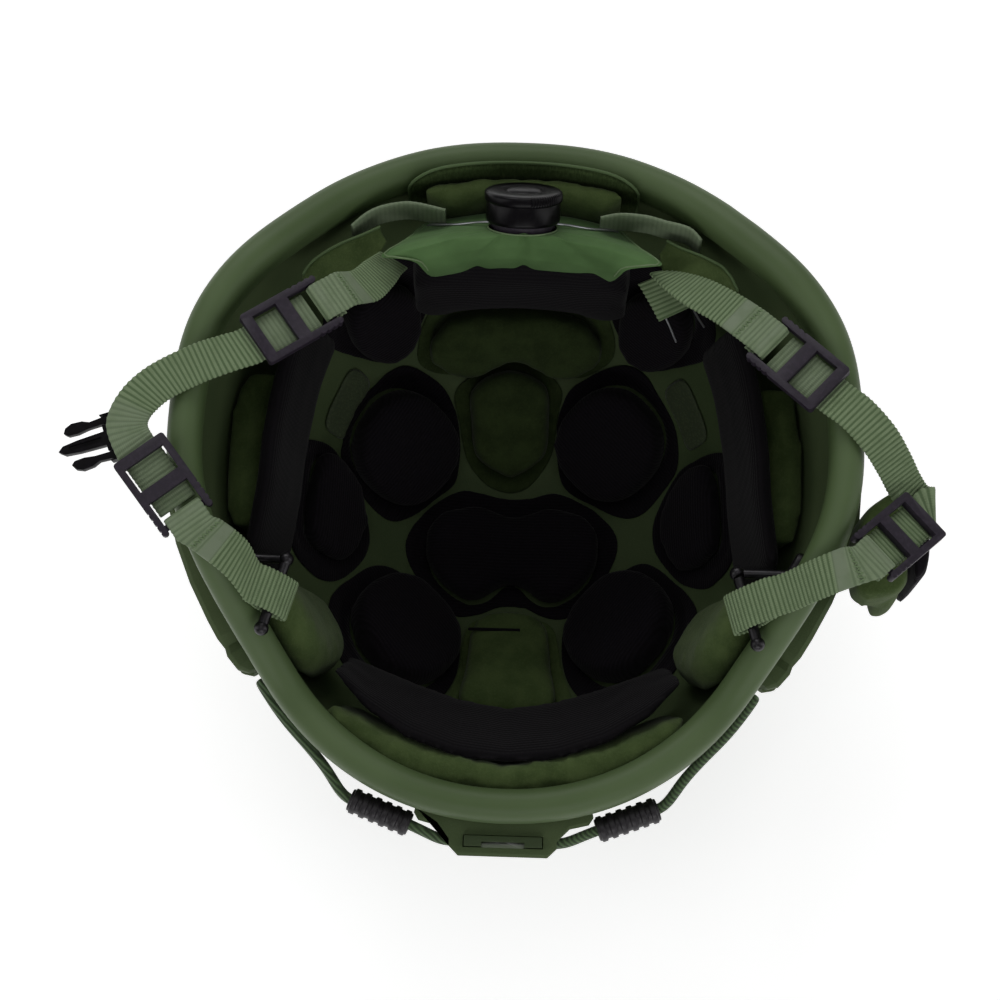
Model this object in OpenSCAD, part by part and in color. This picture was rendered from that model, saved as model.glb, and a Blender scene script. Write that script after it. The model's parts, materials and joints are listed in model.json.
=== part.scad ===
// Full-cut combat helmet lying on its crown: shell, edge trim, brow mount, rails,
// padded liner, nape band with its dial, and the two chin strap sides.
// X runs across the helmet, -Y is the brow, +Z points out of the bowl.

/* [Shell] */
// Half width of the dome over the temples
shell_half_w = 110.5; // [104:0.5:118]
// Reach of the dome to the brow
shell_front = 125.5; // [118:0.5:134]
// Reach of the dome to the nape
shell_rear = 126; // [118:0.5:134]
// Depth of the dome, from the crown to where the wall turns upright
dome_depth = 118; // [108:1:126]
// Thickness of the wall
wall = 9; // [7:0.5:11]
// How far the wall swells outwards over the ears
ear_swell = 14; // [8:0.5:18]
// Height of the rim over the ears
rim_ear = 172; // [164:1:180]
// Height of the rim at the nape
rim_nape = 150; // [144:1:158]
// Height of the rim at the brow
rim_brow = 124; // [120:1:132]
// Thickness of the rubber edge trim
trim_t = 1.8; // [1.2:0.1:2.4]
// Depth of the edge trim below the rim
trim_deep = 13; // [9:0.5:16]

/* [Fittings] */
// Height of the brow mount
shroud_h = 40; // [34:1:46]
// Half width of the brow mount over its wings
shroud_half_w = 33; // [31:0.5:40]
// Reach of the brow mount's middle from the shell
shroud_t = 11; // [8:0.5:13]
// Bore of the lanyard hole in the brow mount
lanyard_bore = 4; // [3:0.5:5]
// Height of the side rails
rail_h = 26; // [20:1:30]
// Thickness of the side rails
rail_t = 7.6; // [6:0.2:9]
// Diameter of the shock cord
cord_d = 4.4; // [3.6:0.2:5.2]

/* [Liner] */
// Thickness of the black cushions
pad_t = 18; // [14:0.5:21]
// Thickness of the green cushions
green_t = 14; // [10:0.5:16]
// Thickness of the hook tape
tape_t = 1.2; // [0.8:0.1:1.6]
// Gap under whatever lies on the shell
seat_gap = 0.45; // [0.3:0.05:0.8]
// Width of the head bands
band_w = 44; // [38:1:48]
// Diameter of the dial's knob
knob_d = 29; // [26:0.5:32]
// Height of the dial's knob
knob_h = 13; // [11:0.5:15]
// Half width of the nape pad
nape_half_w = 41; // [36:0.5:43]

/* [Straps] */
// Width of the webbing
web_w = 15; // [14:0.5:16]
// Thickness of the webbing
web_t = 1.3; // [1:0.1:1.6]
// Gap between webbing and what it runs through
web_gap = 0.35; // [0.3:0.05:0.5]
// Width of the side rails of a strap adjuster
slider_rail = 2.6; // [2.2:0.1:3]
// Length of a strap adjuster
slider_l = 32; // [29:0.5:35]
// Diameter of the strap anchor's rod
rod_d = 4; // [3:0.5:5]
// Length of the strap anchor's rod
rod_l = 27; // [24:0.5:30]

/* [Hidden] */

// Small helpers
function unit(v) = v / norm(v);
function smooth(t) = let (u = min(1, max(0, t))) u * u * (3 - 2 * u);
function mix(a, b, t) = a + (b - a) * t;
function last(v) = v[len(v) - 1];

function turned(list) = [for (i = [len(list) - 1:-1:0]) list[i]];

// Rounds a run of points: the curve passes through each of them
function spline_at(a, b, c, d, t) =
    0.5 * (2 * b + (c - a) * t + (2 * a - 5 * b + 4 * c - d) * t * t
           + (3 * b - 3 * c + d - a) * t * t * t);
function open_curve(pts, steps) = let (n = len(pts)) concat(
    [for (i = [0:n - 2], k = [0:steps - 1])
        spline_at(pts[max(0, i - 1)], pts[i], pts[i + 1], pts[min(n - 1, i + 2)], k / steps)],
    [last(pts)]);
function loop_curve(pts, steps) = let (n = len(pts))
    [for (i = [0:n - 1], k = [0:steps - 1])
        spline_at(pts[(i + n - 1) % n], pts[i], pts[(i + 1) % n], pts[(i + 2) % n], k / steps)];
function mirrored(half) = concat(half, [for (i = [len(half) - 1:-1:0])
    if (abs(half[i][0]) > 0.01) [-half[i][0], half[i][1]]]);

// Closes a stack of rings into one solid: flat ends, a ring of rings, or two poles
function winding(pts, faces) =
    [for (f = faces) pts[f[0]] * cross(pts[f[1]], pts[f[2]])] * [for (f = faces) 1];
function side_faces(n, m, spans) = [for (i = [0:spans - 1], j = [0:m - 1])
    let (a = i * m + j, b = i * m + (j + 1) % m,
         c = ((i + 1) % n) * m + (j + 1) % m, d = ((i + 1) % n) * m + j)
    each [[a, b, c], [a, c, d]]];
module closed_mesh(pts, faces) {
    inside_out = winding(pts, faces) > 0;
    polyhedron(points = pts, convexity = 8,
               faces = inside_out ? [for (f = faces) [f[0], f[2], f[1]]] : faces);
}
module skin(rings, looped = false) {
    n = len(rings);
    m = len(rings[0]);
    closed_mesh([for (r = rings) each r], concat(
        side_faces(n, m, looped ? n : n - 1),
        looped ? [] : [for (j = [1:m - 2]) [0, j + 1, j]],
        looped ? [] : [for (j = [1:m - 2]) [(n - 1) * m, (n - 1) * m + j, (n - 1) * m + j + 1]]));
}
module domed_skin(start, rings, end) {
    n = len(rings);
    m = len(rings[0]);
    closed_mesh(concat([for (r = rings) each r], [start, end]), concat(
        side_faces(n, m, n - 1),
        [for (j = [0:m - 1]) [n * m, (j + 1) % m, j]],
        [for (j = [0:m - 1]) [n * m + 1, (n - 1) * m + j, (n - 1) * m + (j + 1) % m]]));
}

// The shell's surface. az turns about Z from the right ear towards the nape, and
// inset is the depth below the outer face.
plan_front = 2.1;
plan_rear = 2.4;
dome_power = 2.15;
function side_angle(az) = atan2(sin(az), abs(cos(az)));
function plan_r(az, inset) =
    let (reach = (sin(az) < 0 ? shell_front : shell_rear) - inset,
         m = sin(az) < 0 ? plan_front : plan_rear)
    pow(pow(abs(cos(az)) / (shell_half_w - inset), m) + pow(abs(sin(az)) / reach, m), -1 / m);
ear_mid = 9;
ear_flat = 8;
ear_fade_front = 42;
ear_fade_rear = 34;
swell_low = 62;
swell_high = 140;
function swell_r(az, z) =
    let (s = side_angle(az), d = abs(s - ear_mid),
         fade = s < ear_mid ? ear_fade_front : ear_fade_rear)
    ear_swell * smooth(1 - (d - ear_flat) / fade)
              * smooth((z - swell_low) / (swell_high - swell_low));
function shell_r(az, z, inset) =
    let (t = min(1, max(0, (dome_depth - z) / (dome_depth - inset))))
    plan_r(az, inset) * pow(1 - pow(t, dome_power), 1 / dome_power) + swell_r(az, z);
function shell_pt(az, z, inset) =
    let (r = shell_r(az, z, inset)) [r * cos(az), r * sin(az), z];
function rim_z(az) = let (s = side_angle(az))
    rim_ear - (rim_ear - rim_brow) * smooth((-s - 14) / 34)
            - (rim_ear - rim_nape) * smooth((s - 32) / 36);

// A point on the bowl, p along the wall and q towards the rim from a pad's middle
bowl_mid = [0, 0, dome_depth];
function bowl_dir(az, el, p, q, reach) = unit(
    reach * [cos(az) * cos(el), sin(az) * cos(el), sin(el)]
    + p * [-sin(az), cos(az), 0]
    + q * [-cos(az) * sin(el), -sin(az) * sin(el), cos(el)]);
function bowl_reach(d, inset) =
    let (m = d[1] < 0 ? plan_front : plan_rear,
         b = (d[1] < 0 ? shell_front : shell_rear) - inset,
         flat = pow(pow(abs(d[0]) / (shell_half_w - inset), m) + pow(abs(d[1]) / b, m), 1 / m),
         deep = max(0, -d[2]) / (dome_depth - inset))
    pow(pow(flat, dome_power) + pow(deep, dome_power), -1 / dome_power);
function bowl_pt(az, el, pq, inset) =
    let (deep = bowl_reach(bowl_dir(az, el, 0, 0, 1), inset), d = bowl_dir(az, el, pq[0], pq[1], deep))
    bowl_mid + d * bowl_reach(d, inset);

// The whole set stands on its crown with the origin under the middle of its box
middle = [-4.14, -5.29, 0];
module placed() translate(-middle) children();

// Whatever hangs beside the head keeps its distance from the flank of a wider shell
typical_half_w = 110.5;
flank_shift = shell_half_w - typical_half_w;
function beside(p) = [for (i = [0:len(p) - 1])
    p[i] + (i == 0 ? sign(p[0]) * min(1, abs(p[0]) / 100) * flank_shift : 0)];
function follow(stations) = [for (s = stations) [beside(s[0]), s[1]]];
module outboard() translate([flank_shift, 0, 0]) children();

shell_green = [0.30, 0.36, 0.25];
web_green = [0.33, 0.43, 0.29];
soft_green = [0.22, 0.29, 0.16];
cloth_green = [0.24, 0.36, 0.20];
soft_black = [0.10, 0.08, 0.10];
hard_black = [0.13, 0.12, 0.13];
steel = [0.62, 0.62, 0.65];

// Shell: a closed bowl with an even wall, low at the brow and high over the ears
az_steps = 64;
outer_rings = 12;
inner_rings = 14;
wall_rings = 5;
function dome_z(k, count, inset) =
    dome_depth - (dome_depth - inset) * pow(cos(90 * k / count), 2 / dome_power);
function round_at(z, inset) =
    [for (i = [0:az_steps - 1]) shell_pt(360 * i / az_steps, z, inset)];
function wall_round(f, inset) = [for (i = [0:az_steps - 1]) let (az = 360 * i / az_steps)
    shell_pt(az, mix(dome_depth, rim_z(az), f), inset)];
function bowl_rings(count, inset) = concat(
    [for (k = [1:count]) round_at(dome_z(k, count, inset), inset)],
    [for (k = [1:wall_rings]) wall_round(k / wall_rings, inset)]);
module shell() placed() color(shell_green)
    domed_skin([0, 0, 0], concat(bowl_rings(outer_rings, 0),
               turned(bowl_rings(inner_rings, wall))), [0, 0, wall]);

// Edge trim: a rubber channel pushed over the rim, gripping both faces of the wall
trim_gap = 0.5;
trim_leg = trim_deep - 2;
trim_profile = [
    [-trim_t, -trim_deep], [-trim_t, -4], [-trim_t * 0.65, -0.5], [1, 2.3],
    [wall / 2, 3.5], [wall - 1, 2.3], [wall + trim_t * 0.65, -0.5], [wall + trim_t, -4],
    [wall + trim_t, -trim_leg], [wall + trim_gap, -trim_leg], [wall + trim_gap, -trim_leg / 2],
    [wall + trim_gap, trim_gap], [-trim_gap, trim_gap], [-trim_gap, -trim_deep / 2],
    [-trim_gap, -trim_deep]];
module edge_trim() placed() color(shell_green)
    skin([for (i = [0:az_steps - 1]) let (az = 360 * i / az_steps)
          [for (p = trim_profile) shell_pt(az, rim_z(az) + p[1], p[0])]], looped = true);

// Brow mount: two thin wings hugging the shell and a thick tongue with a pocket
mount_top = 108;
mount_low = mount_top - shroud_h - 6;
tongue_half_w = 20;
tongue_lean = 0.1;
wing_t = 4.8;
wing_spread = asin(shroud_half_w / shell_front);
mount_steps = 12;
lanyard_z = mount_low + 5;
lanyard_y = -(shell_front + 5);
pocket_half_w = 14.9;
pocket_back = -(shell_front + 5.1);
pocket_t = 4.6;
pocket_low = 72;
function tongue_y(z, back) = -(shell_front + 2 + shroud_t - back) + (mount_top - z) * tongue_lean;
function mount_ring(z, draw_in) = concat(
    [for (k = [0:mount_steps]) let (u = 2 * k / mount_steps - 1)
        shell_pt(-90 + u * wing_spread, z, -seat_gap)],
    [shell_pt(-90 + wing_spread, z, -wing_t + 2.2 + draw_in),
     shell_pt(-90 + wing_spread * 0.93, z, -wing_t + draw_in),
     shell_pt(-90 + wing_spread * 0.72, z, -wing_t + draw_in),
     [tongue_half_w, tongue_y(z, 6.2), z], [tongue_half_w, tongue_y(z, 3.4), z],
     [tongue_half_w - 3.4, tongue_y(z, draw_in), z],
     [3.4 - tongue_half_w, tongue_y(z, draw_in), z],
     [-tongue_half_w, tongue_y(z, 3.4), z], [-tongue_half_w, tongue_y(z, 6.2), z],
     shell_pt(-90 - wing_spread * 0.72, z, -wing_t + draw_in),
     shell_pt(-90 - wing_spread * 0.93, z, -wing_t + draw_in),
     shell_pt(-90 - wing_spread, z, -wing_t + 2.2 + draw_in)]);
cord_hole_y = -(shell_front + 7.3);
cord_hole_z = 103.5;
module brow_mount() placed() color(shell_green) difference() {
    skin([mount_ring(mount_low, 1.2), mount_ring(mount_low + 1.2, 0), mount_ring(82, 0),
          mount_ring(95, 0), mount_ring(mount_top - 1.2, 0), mount_ring(mount_top, 1.2)]);
    translate([-pocket_half_w, pocket_back - pocket_t, pocket_low])
        cube([2 * pocket_half_w, pocket_t, shroud_h + 8]);
    translate([-9, -150, pocket_low + 5]) cube([18, 150 + pocket_back - pocket_t + 0.1, 23]);
    translate([-30, lanyard_y, lanyard_z]) rotate([0, 90, 0]) cylinder(d = lanyard_bore, h = 60);
    for (side = [-1, 1]) translate([side * (tongue_half_w - 1), cord_hole_y, cord_hole_z])
        rotate([0, 90, 0]) cylinder(d = cord_d + 1.6, h = 7, center = true);
}

// Mount insert: a metal plate in the pocket with a slot for a mounting foot
insert_gap = 0.35;
slot_half_w = 8;
slot_deep = 1.8;
module mount_insert() placed() color(hard_black) difference() {
    translate([insert_gap - pocket_half_w, pocket_back - pocket_t + insert_gap,
               pocket_low + insert_gap])
        cube([2 * (pocket_half_w - insert_gap), pocket_t - 2 * insert_gap, 37.4]);
    translate([-slot_half_w, pocket_back - pocket_t - 0.1, pocket_low + 8])
        cube([2 * slot_half_w, insert_gap + slot_deep + 0.1, 40]);
    for (z = [76, 105]) translate([0, pocket_back + 1, z])
        rotate([90, 0, 0]) cylinder(d = 3.4, h = 6);
}

// Side rails: a grooved bar along each flank, with a double bump at its front end
rail_front = -37;
rail_rear = 31;
rail_mid_z = 106;
rail_rise = 0.2;
rail_profile = [[0, -1], [0.76, -1], [1, -0.86], [1, -0.36], [0.68, -0.28], [0.68, 0.28],
                [1, 0.36], [1, 0.86], [0.76, 1], [0, 1], [0, 0.5], [0, 0], [0, -0.5]];
rail_stations = [[-37, 0.62, 0.5], [-35.5, 0.86, 0.9], [-33, 0.9, 1], [-31.5, 0.74, 0.92],
                 [-29.5, 0.96, 1], [-26, 1, 1], [-19, 1, 1], [-12, 1, 1], [-5, 1, 1],
                 [5, 1, 1], [12, 1, 1], [19, 1, 1], [25, 1, 1], [28, 0.84, 0.9],
                 [31, 0.55, 0.5]];
function rail_z(s) = rail_mid_z + (s - rail_front) * rail_rise;
module rail() skin([for (st = rail_stations) [for (p = rail_profile)
    shell_pt(st[0], rail_z(st[0]) + p[1] * st[1] * rail_h / 2,
             -seat_gap - 0.2 - p[0] * st[2] * rail_t)]]);
module rail_right() placed() color(shell_green) rail();
module rail_left() placed() color(shell_green) mirror([1, 0, 0]) rail();

// Round tube along a route, with a flat end at each side
function across(t, up) = unit(cross(t, up));
module tube(route, d, sides = 8) {
    n = len(route);
    skin([for (i = [0:n - 1])
        let (t = unit(route[min(n - 1, i + 1)] - route[max(0, i - 1)]),
             u = across(t, [0, 0, 1]), v = cross(t, u))
        [for (k = [0:sides - 1]) route[i]
            + u * (d / 2 * cos(360 * k / sides)) + v * (d / 2 * sin(360 * k / sides))]]);
}

// Shock cord: round the flank from the rail to the grip, through it and into the tongue
cord_out = -(seat_gap + cord_d / 2 + 0.1);
grip_outer = [58, 7.1 - shell_front, 104.6];
grip_inner = [34.5, -shell_front - 1.9, 104];
cord_route = concat(
    [for (az = [-38.6, -43, -48, -53]) shell_pt(az, 107, cord_out)],
    [shell_pt(-58, 106, cord_out - 1.6), grip_outer + [4, 3.6, 0.2]],
    [for (t = [0:0.25:1]) mix(grip_outer, grip_inner, t)],
    [[28.5, -shell_front - 4.5, 103.8], [23, -shell_front - 6.7, cord_hole_z], [16.6, cord_hole_y, cord_hole_z]]);
module cord_run() tube(open_curve(cord_route, 2), cord_d);
module shock_cord_right() placed() color(web_green) cord_run();
module shock_cord_left() placed() color(web_green) mirror([1, 0, 0]) cord_run();

// Ribbed grip on the shock cord
grip_d = 8.4;
grip_rib_d = 9.8;
grip_ribs = 6;
grip_l = norm(grip_inner - grip_outer) - 1;
module along(a, b) {
    v = b - a;
    translate(a) rotate([0, acos(v[2] / norm(v)), atan2(v[1], v[0])]) children();
}
module grip() along(grip_outer, grip_inner) difference() {
    union() {
        translate([0, 0, 0.5]) cylinder(d = grip_d, h = grip_l);
        for (k = [0:grip_ribs - 1])
            translate([0, 0, 1.5 + k * (grip_l - 4) / (grip_ribs - 1)])
                cylinder(d = grip_rib_d, h = 2.2);
    }
    translate([0, 0, -1]) cylinder(d = cord_d + 0.8, h = grip_l + 4);
}
module cord_hook_right() placed() color(hard_black) grip();
module cord_hook_left() placed() color(hard_black) mirror([1, 0, 0]) grip();

// Liner cushions. An outline is closed, in mm along the wall and towards the rim, and
// every ring of it is drawn in and lifted off the wall by its own share.
pad_rings = [[0.5, 0], [0.9, 0], [1, 0.22], [1, 0.6], [0.95, 0.83], [0.82, 0.95], [0.5, 1]];
module cushion(az, el, outline, t, mid = [0, 0]) {
    base = wall + seat_gap;
    domed_skin(bowl_pt(az, el, mid, base),
               [for (k = pad_rings) [for (c = outline)
                   bowl_pt(az, el, mid + (c - mid) * k[0], base + t * k[1])]],
               bowl_pt(az, el, mid, base + t * 1.01));
}
function oval(a, b, power, count) = [for (i = [0:count - 1]) let (u = 360 * i / count)
    [a * sign(cos(u)) * pow(abs(cos(u)), 2 / power),
     b * sign(sin(u)) * pow(abs(sin(u)), 2 / power)]];

crown_half = [[0, 15], [15, 20], [31, 17], [39, 8], [39, -7], [31, -17], [20, -24],
              [12, -22], [6, -17], [0, -15]];
shield_half = [[0, 22], [16.5, 14.5], [17, 0], [16.5, -15], [8, -22], [0, -26]];
bean_half = [[0, 17], [15, 17.5], [30, 13.5], [39, 3], [38, -5], [29, -12], [19, -15],
             [9, -10], [0, -6]];
forehead_half = [[0, -26], [12, -23], [17, -17], [18, -6], [19, 6], [21, 17], [18, 25], [0, 27]];
corner_outline = [[12, -15], [1, -21], [-10, -16], [-17, 0], [-14, 17], [-3, 22], [9, 17], [17, 4]];
side_outline = [[22, 12], [21, 0], [12, -12], [-4, -17], [-20, -10], [-23, 0], [-18, 15],
                [-4, 17], [11, 16]];
tape_outline = [[12, 10], [14.5, 3], [13, -4], [0, -5.5], [-12, -8], [-14, -2], [-14, 6], [0, 8.5]];

crown_shift = [0, -4];
module crown_pad() placed() color(soft_black) cushion(90, -90,
    [for (c = loop_curve(mirrored(crown_half), 1)) c + crown_shift], pad_t, crown_shift);
rear_oval = oval(24, 24, 2.4, 22);
front_oval = oval(25, 23.5, 2.4, 22);
module rear_pad_right() placed() color(soft_black) cushion(45, -57, rear_oval, pad_t);
module rear_pad_left() placed() color(soft_black) cushion(143, -55.5, rear_oval, pad_t);
module front_pad_right() placed() color(soft_black) cushion(-39.5, -54.9, front_oval, pad_t);
module front_pad_left() placed() color(soft_black) cushion(-136, -54.3, front_oval, pad_t);
module shield_pad() placed() color(soft_green)
    cushion(93, -61, loop_curve(mirrored(shield_half), 2), green_t + 1);
module nape_bean_pad() placed() color(soft_green)
    cushion(91, -44, loop_curve(mirrored(bean_half), 1), green_t, [0, 4]);
module forehead_pad() placed() color(soft_green)
    cushion(-90, -59.7, loop_curve(mirrored(forehead_half), 2), green_t);
module corner_pad() cushion(55.3, -28.4, loop_curve(corner_outline, 3), green_t);
module corner_pad_right() placed() color(soft_black) corner_pad();
module corner_pad_left() placed() color(soft_black) mirror([1, 0, 0]) corner_pad();
module side_pad() cushion(4.9, -44.6, loop_curve(side_outline, 2), green_t - 3);
module side_pad_right() placed() color(soft_black) side_pad();
module side_pad_left() placed() color(soft_black) mirror([1, 0, 0]) side_pad();

// Hook tape: thin strips on the bare wall between the cushions
module tape() {
    outline = loop_curve(tape_outline, 2);
    lift = wall + seat_gap;
    domed_skin(bowl_pt(35.5, -40.3, [0, 0], lift),
               [for (k = [[0.5, 0], [1, 0], [1, 1], [0.5, 1]]) [for (c = outline)
                   bowl_pt(35.5, -40.3, c * k[0], lift + tape_t * k[1])]],
               bowl_pt(35.5, -40.3, [0, 0], lift + tape_t));
}
module hook_tape_right() placed() color(web_green) tape();
module hook_tape_left() placed() color(web_green) mirror([1, 0, 0]) tape();

// Cushions on the upright wall. u is in degrees round the wall, and v runs from 0 at
// the low edge to 1 under the trim.
wall_pad_rings = [[0.86, 0], [1, 0.25], [1, 0.6], [0.93, 0.85], [0.76, 1]];
module wall_cushion(az, half_u, z_low, top_drop, t, base, power = 3.4, count = 24) {
    function at(c, k) =
        let (a = az + c[0] * half_u * k[0],
             hi = min(rim_z(a), top_drop[1]) - top_drop[0],
             z = mix(z_low, hi, 0.5 + c[1] * k[0] / 2))
        shell_pt(a, z, base + t * k[1]);
    outline = oval(1, 1, power, count);
    domed_skin(at([0, 0], [1, 0]), [for (k = concat([[0.5, 0]], wall_pad_rings, [[0.4, 1.04]]))
               [for (c = outline) at(c, k)]], at([0, 0], [1, 1.06]));
}
temple_t = 17;
module temple_pad() wall_cushion(-34, 8, 68, [trim_deep + 1, 200], temple_t, wall + seat_gap);
module temple_pad_right() placed() color(soft_green) temple_pad();
module temple_pad_left() placed() color(soft_green) mirror([1, 0, 0]) temple_pad();
brow_pad_t = 11;
module brow_cushion() placed() color(soft_green) wall_cushion(
    -90, 35, 72, [trim_deep - 1, 200], brow_pad_t, wall + seat_gap, 5, 40);
// Rear cushion, and the cloth panel behind it that shows above with round upper corners
rear_pad_base = wall + trim_t + seat_gap;
panel_t = 1.3;
panel_low = 119;
panel_high = 162;
panel_half_w = 43;
panel_corner = 14;
function rear_pt(x, z, lift) =
    shell_pt(acos(x / (shell_rear - rear_pad_base)), z, rear_pad_base + lift);
function panel_top(x) = let (over = max(0, abs(x) - panel_half_w + panel_corner))
    panel_high - panel_corner + sqrt(pow(panel_corner, 2) - pow(over, 2));
module rear_panel() placed() color(cloth_green)
    skin([for (k = [-12:12]) let (x = panel_half_w * sin(90 * k / 12))
        [rear_pt(x, panel_low, panel_t), rear_pt(x, panel_top(x), panel_t),
         rear_pt(x, panel_top(x), 0), rear_pt(x, panel_low, 0)]]);
rear_cushion_top = 153;
rear_cushion_low = 120;
rear_cushion_half_w = 39;
rear_cushion_t = 5;
rear_cushion_back = panel_t + seat_gap;
rear_cushion_rows = [[0.5, 0], [1, 0.12], [1, 0.3], [1, 0.5], [1, 0.7], [1, 0.88], [0.5, 1]];
function rear_full(x) = rear_cushion_t + 3 * smooth((abs(x) - 14) / 14);
module rear_cushion() placed() color(soft_green)
    skin([for (k = [-8:8]) let (x = rear_cushion_half_w * k / 8,
                                edge = 1 - 0.55 * smooth((abs(x) - 31) / 8))
        concat([for (r = rear_cushion_rows) rear_pt(x,
                    mix(rear_cushion_low, rear_cushion_top, r[1]),
                    rear_cushion_back + r[0] * edge * rear_full(x))],
               [for (f = [0.96, 0.5, 0.04])
                    rear_pt(x, mix(rear_cushion_low, rear_cushion_top, f), rear_cushion_back)])]);

// Head bands: a flat padded band between a low and a high line, thick to the outside
band_section = [[0, 0.5], [0.03, 0.16], [0.15, 0], [0.5, -0.05], [0.85, 0], [0.97, 0.16],
                [1, 0.5], [0.97, 0.84], [0.85, 1], [0.15, 1], [0.03, 0.84]];
module band(low, high, out, t) {
    n = len(low);
    skin([for (i = [0:n - 1])
        let (end = min(i, n - 1 - i), s = end == 0 ? 0.84 : end == 1 ? 0.96 : 1,
             q = end == 0 ? 0.5 : 1)
        [for (p = band_section) mix(low[i], high[i], 0.5 + (p[0] - 0.5) * s)
            + out[i] * t * (0.5 + (p[1] - 0.5) * q)]]);
}
brow_band_t = 5;
brow_low = open_curve([[-60, -57, 75], [-34, -68, 75], [0, -76, 75], [34, -68, 75],
                       [60, -57, 75]], 2);
brow_spread = 43;
brow_high_z = 111;
brow_back = wall + brow_pad_t + brow_band_t - 0.9;
brow_high = [for (k = [-4:4])
    shell_pt(-90 + k * brow_spread / 4, brow_high_z, brow_back)];
module brow_band() placed() color(soft_black)
    band(brow_low, brow_high, [for (c = brow_high) unit([c[0], c[1], -50])], brow_band_t);

// Side bands lean outwards over the ears, with a green backing cushion to the wall
side_band_t = 7;
side_line = [[73.5, 64], [77.5, 55], [81, 44], [83.6, 30], [85.6, 15], [86.4, 0], [87.8, -12],
             [89.4, -24], [90.2, -31]];
band_low_z = 86;
band_high_z = band_low_z + band_w;
band_lean = 5;
side_curve = open_curve([for (c = side_line) c + [0.8 * flank_shift, 0]], 2);
side_low = [for (c = side_curve) [c[0] - band_lean, c[1], band_low_z]];
side_high = [for (c = side_curve) [c[0] + band_lean, c[1], band_high_z]];
module side_band() band(side_low, side_high,
                        [for (c = side_curve) [1, 0, -2 * band_lean / band_w]], side_band_t);
module side_band_right() placed() color(soft_black) side_band();
module side_band_left() placed() color(soft_black) mirror([1, 0, 0]) side_band();

function wall_x(y, z, inset, x = 105, tries = 5) = tries == 0 ? x :
    wall_x(y, z, inset, sqrt(pow(shell_r(atan2(y, x), z, inset), 2) - y * y), tries - 1);
side_pad_low = 84;
side_pad_high = 114;
module side_cushion() {
    function inner(c, z) = c[0] + band_lean * (z - band_low_z - band_w / 2) / (band_w / 2)
                           + side_band_t + 0.9;
    function outer(c, z) = wall_x(c[1], z, wall + 2 * seat_gap);
    rows = [side_pad_low, 94, 104, side_pad_high];
    skin([for (i = [4:len(side_curve) - 4]) let (c = side_curve[i],
          e = (i == 4 || i == len(side_curve) - 4) ? 2.5 : 0)
        concat([for (z = rows) [inner(c, z) + e / 4, c[1], z + (z < 90 ? e : 0)]],
               [[(inner(c, side_pad_high) + outer(c, side_pad_high)) / 2, c[1],
                 side_pad_high + 4 - e]],
               [for (k = [3:-1:0]) [outer(c, rows[k]) - e / 2, c[1],
                                   rows[k] + (k == 0 ? e : 0)]])]);
}
module side_cushion_right() placed() color(soft_green) side_cushion();
module side_cushion_left() placed() color(soft_green) mirror([1, 0, 0]) side_cushion();

// Nape pad: a foam wedge that wraps the head, cloth laid over its back
nape_wrap = 330;
nape_fall = 5;
cloth_t = 1.5;
cover_half_w = 44;
cover_line = [[75.6, 154.5], [76.5, 160], [79, 165.2], [82.5, 168.2], [86.2, 166],
              [90.5, 158], [95.5, 149.5], [100.5, 142.5], [103, 137]];
pad_under = [[95, 130], [84, 121], [75, 116.5], [68.5, 119], [69.2, 130], [71.4, 142],
             [72.6, 150]];
function inwards(pts, d) = [for (i = [0:len(pts) - 1])
    let (t = unit(pts[min(len(pts) - 1, i + 1)] - pts[max(0, i - 1)]))
    pts[i] + d * [t[1], -t[0]]];
function nape_at(x, c) = [x, c[0] - x * x / nape_wrap, c[1] - nape_fall * pow(x / cover_half_w, 2)];
dial_mid = [0, 88.2, 160.5];
dial_tilt = -58;
collar_d = 24;
collar_top = 4.4;
stub_d = 12;
module on_dial() translate(dial_mid) rotate([dial_tilt, 0, 0]) children();
module dial_seat() on_dial() {
    translate([0, 0, -3.4]) cylinder(d = collar_d + 0.9, h = 20);
    translate([0, 0, -4.2]) cylinder(d = stub_d + 0.9, h = 6);
}
lace_d = 1.2;
lace_up = 2.6;
function cover_pt(x, k, lift) =
    let (line = inwards(cover_line, -lift), i = floor(k))
    nape_at(x, mix(line[i], line[i + 1], k - i));
eyelet_x = 36;
module eyelets() for (side = [-1, 1]) translate(cover_pt(side * eyelet_x, 6.6, 0))
    rotate([dial_tilt, 0, 0]) cylinder(d = 3.6, h = 8, center = true);
module nape_pad() placed() color(soft_black) difference() {
    top = inwards(cover_line, cloth_t + seat_gap);
    line = concat([for (i = [0:7]) top[i]], pad_under);
    mid = [84, 142];
    skin([for (k = [-6:6]) let (x = k * nape_half_w / 6, s = abs(k) == 6 ? 0.82 : 1)
        [for (c = line) nape_at(x, mid + (c - mid) * s)]]);
    dial_seat();
}
module nape_cover() placed() color(cloth_green) difference() {
    line = concat(cover_line, turned(inwards(cover_line, cloth_t)));
    skin([for (k = [-7:7]) [for (c = line) nape_at(k * cover_half_w / 7, c)]]);
    dial_seat();
    eyelets();
}

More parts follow.
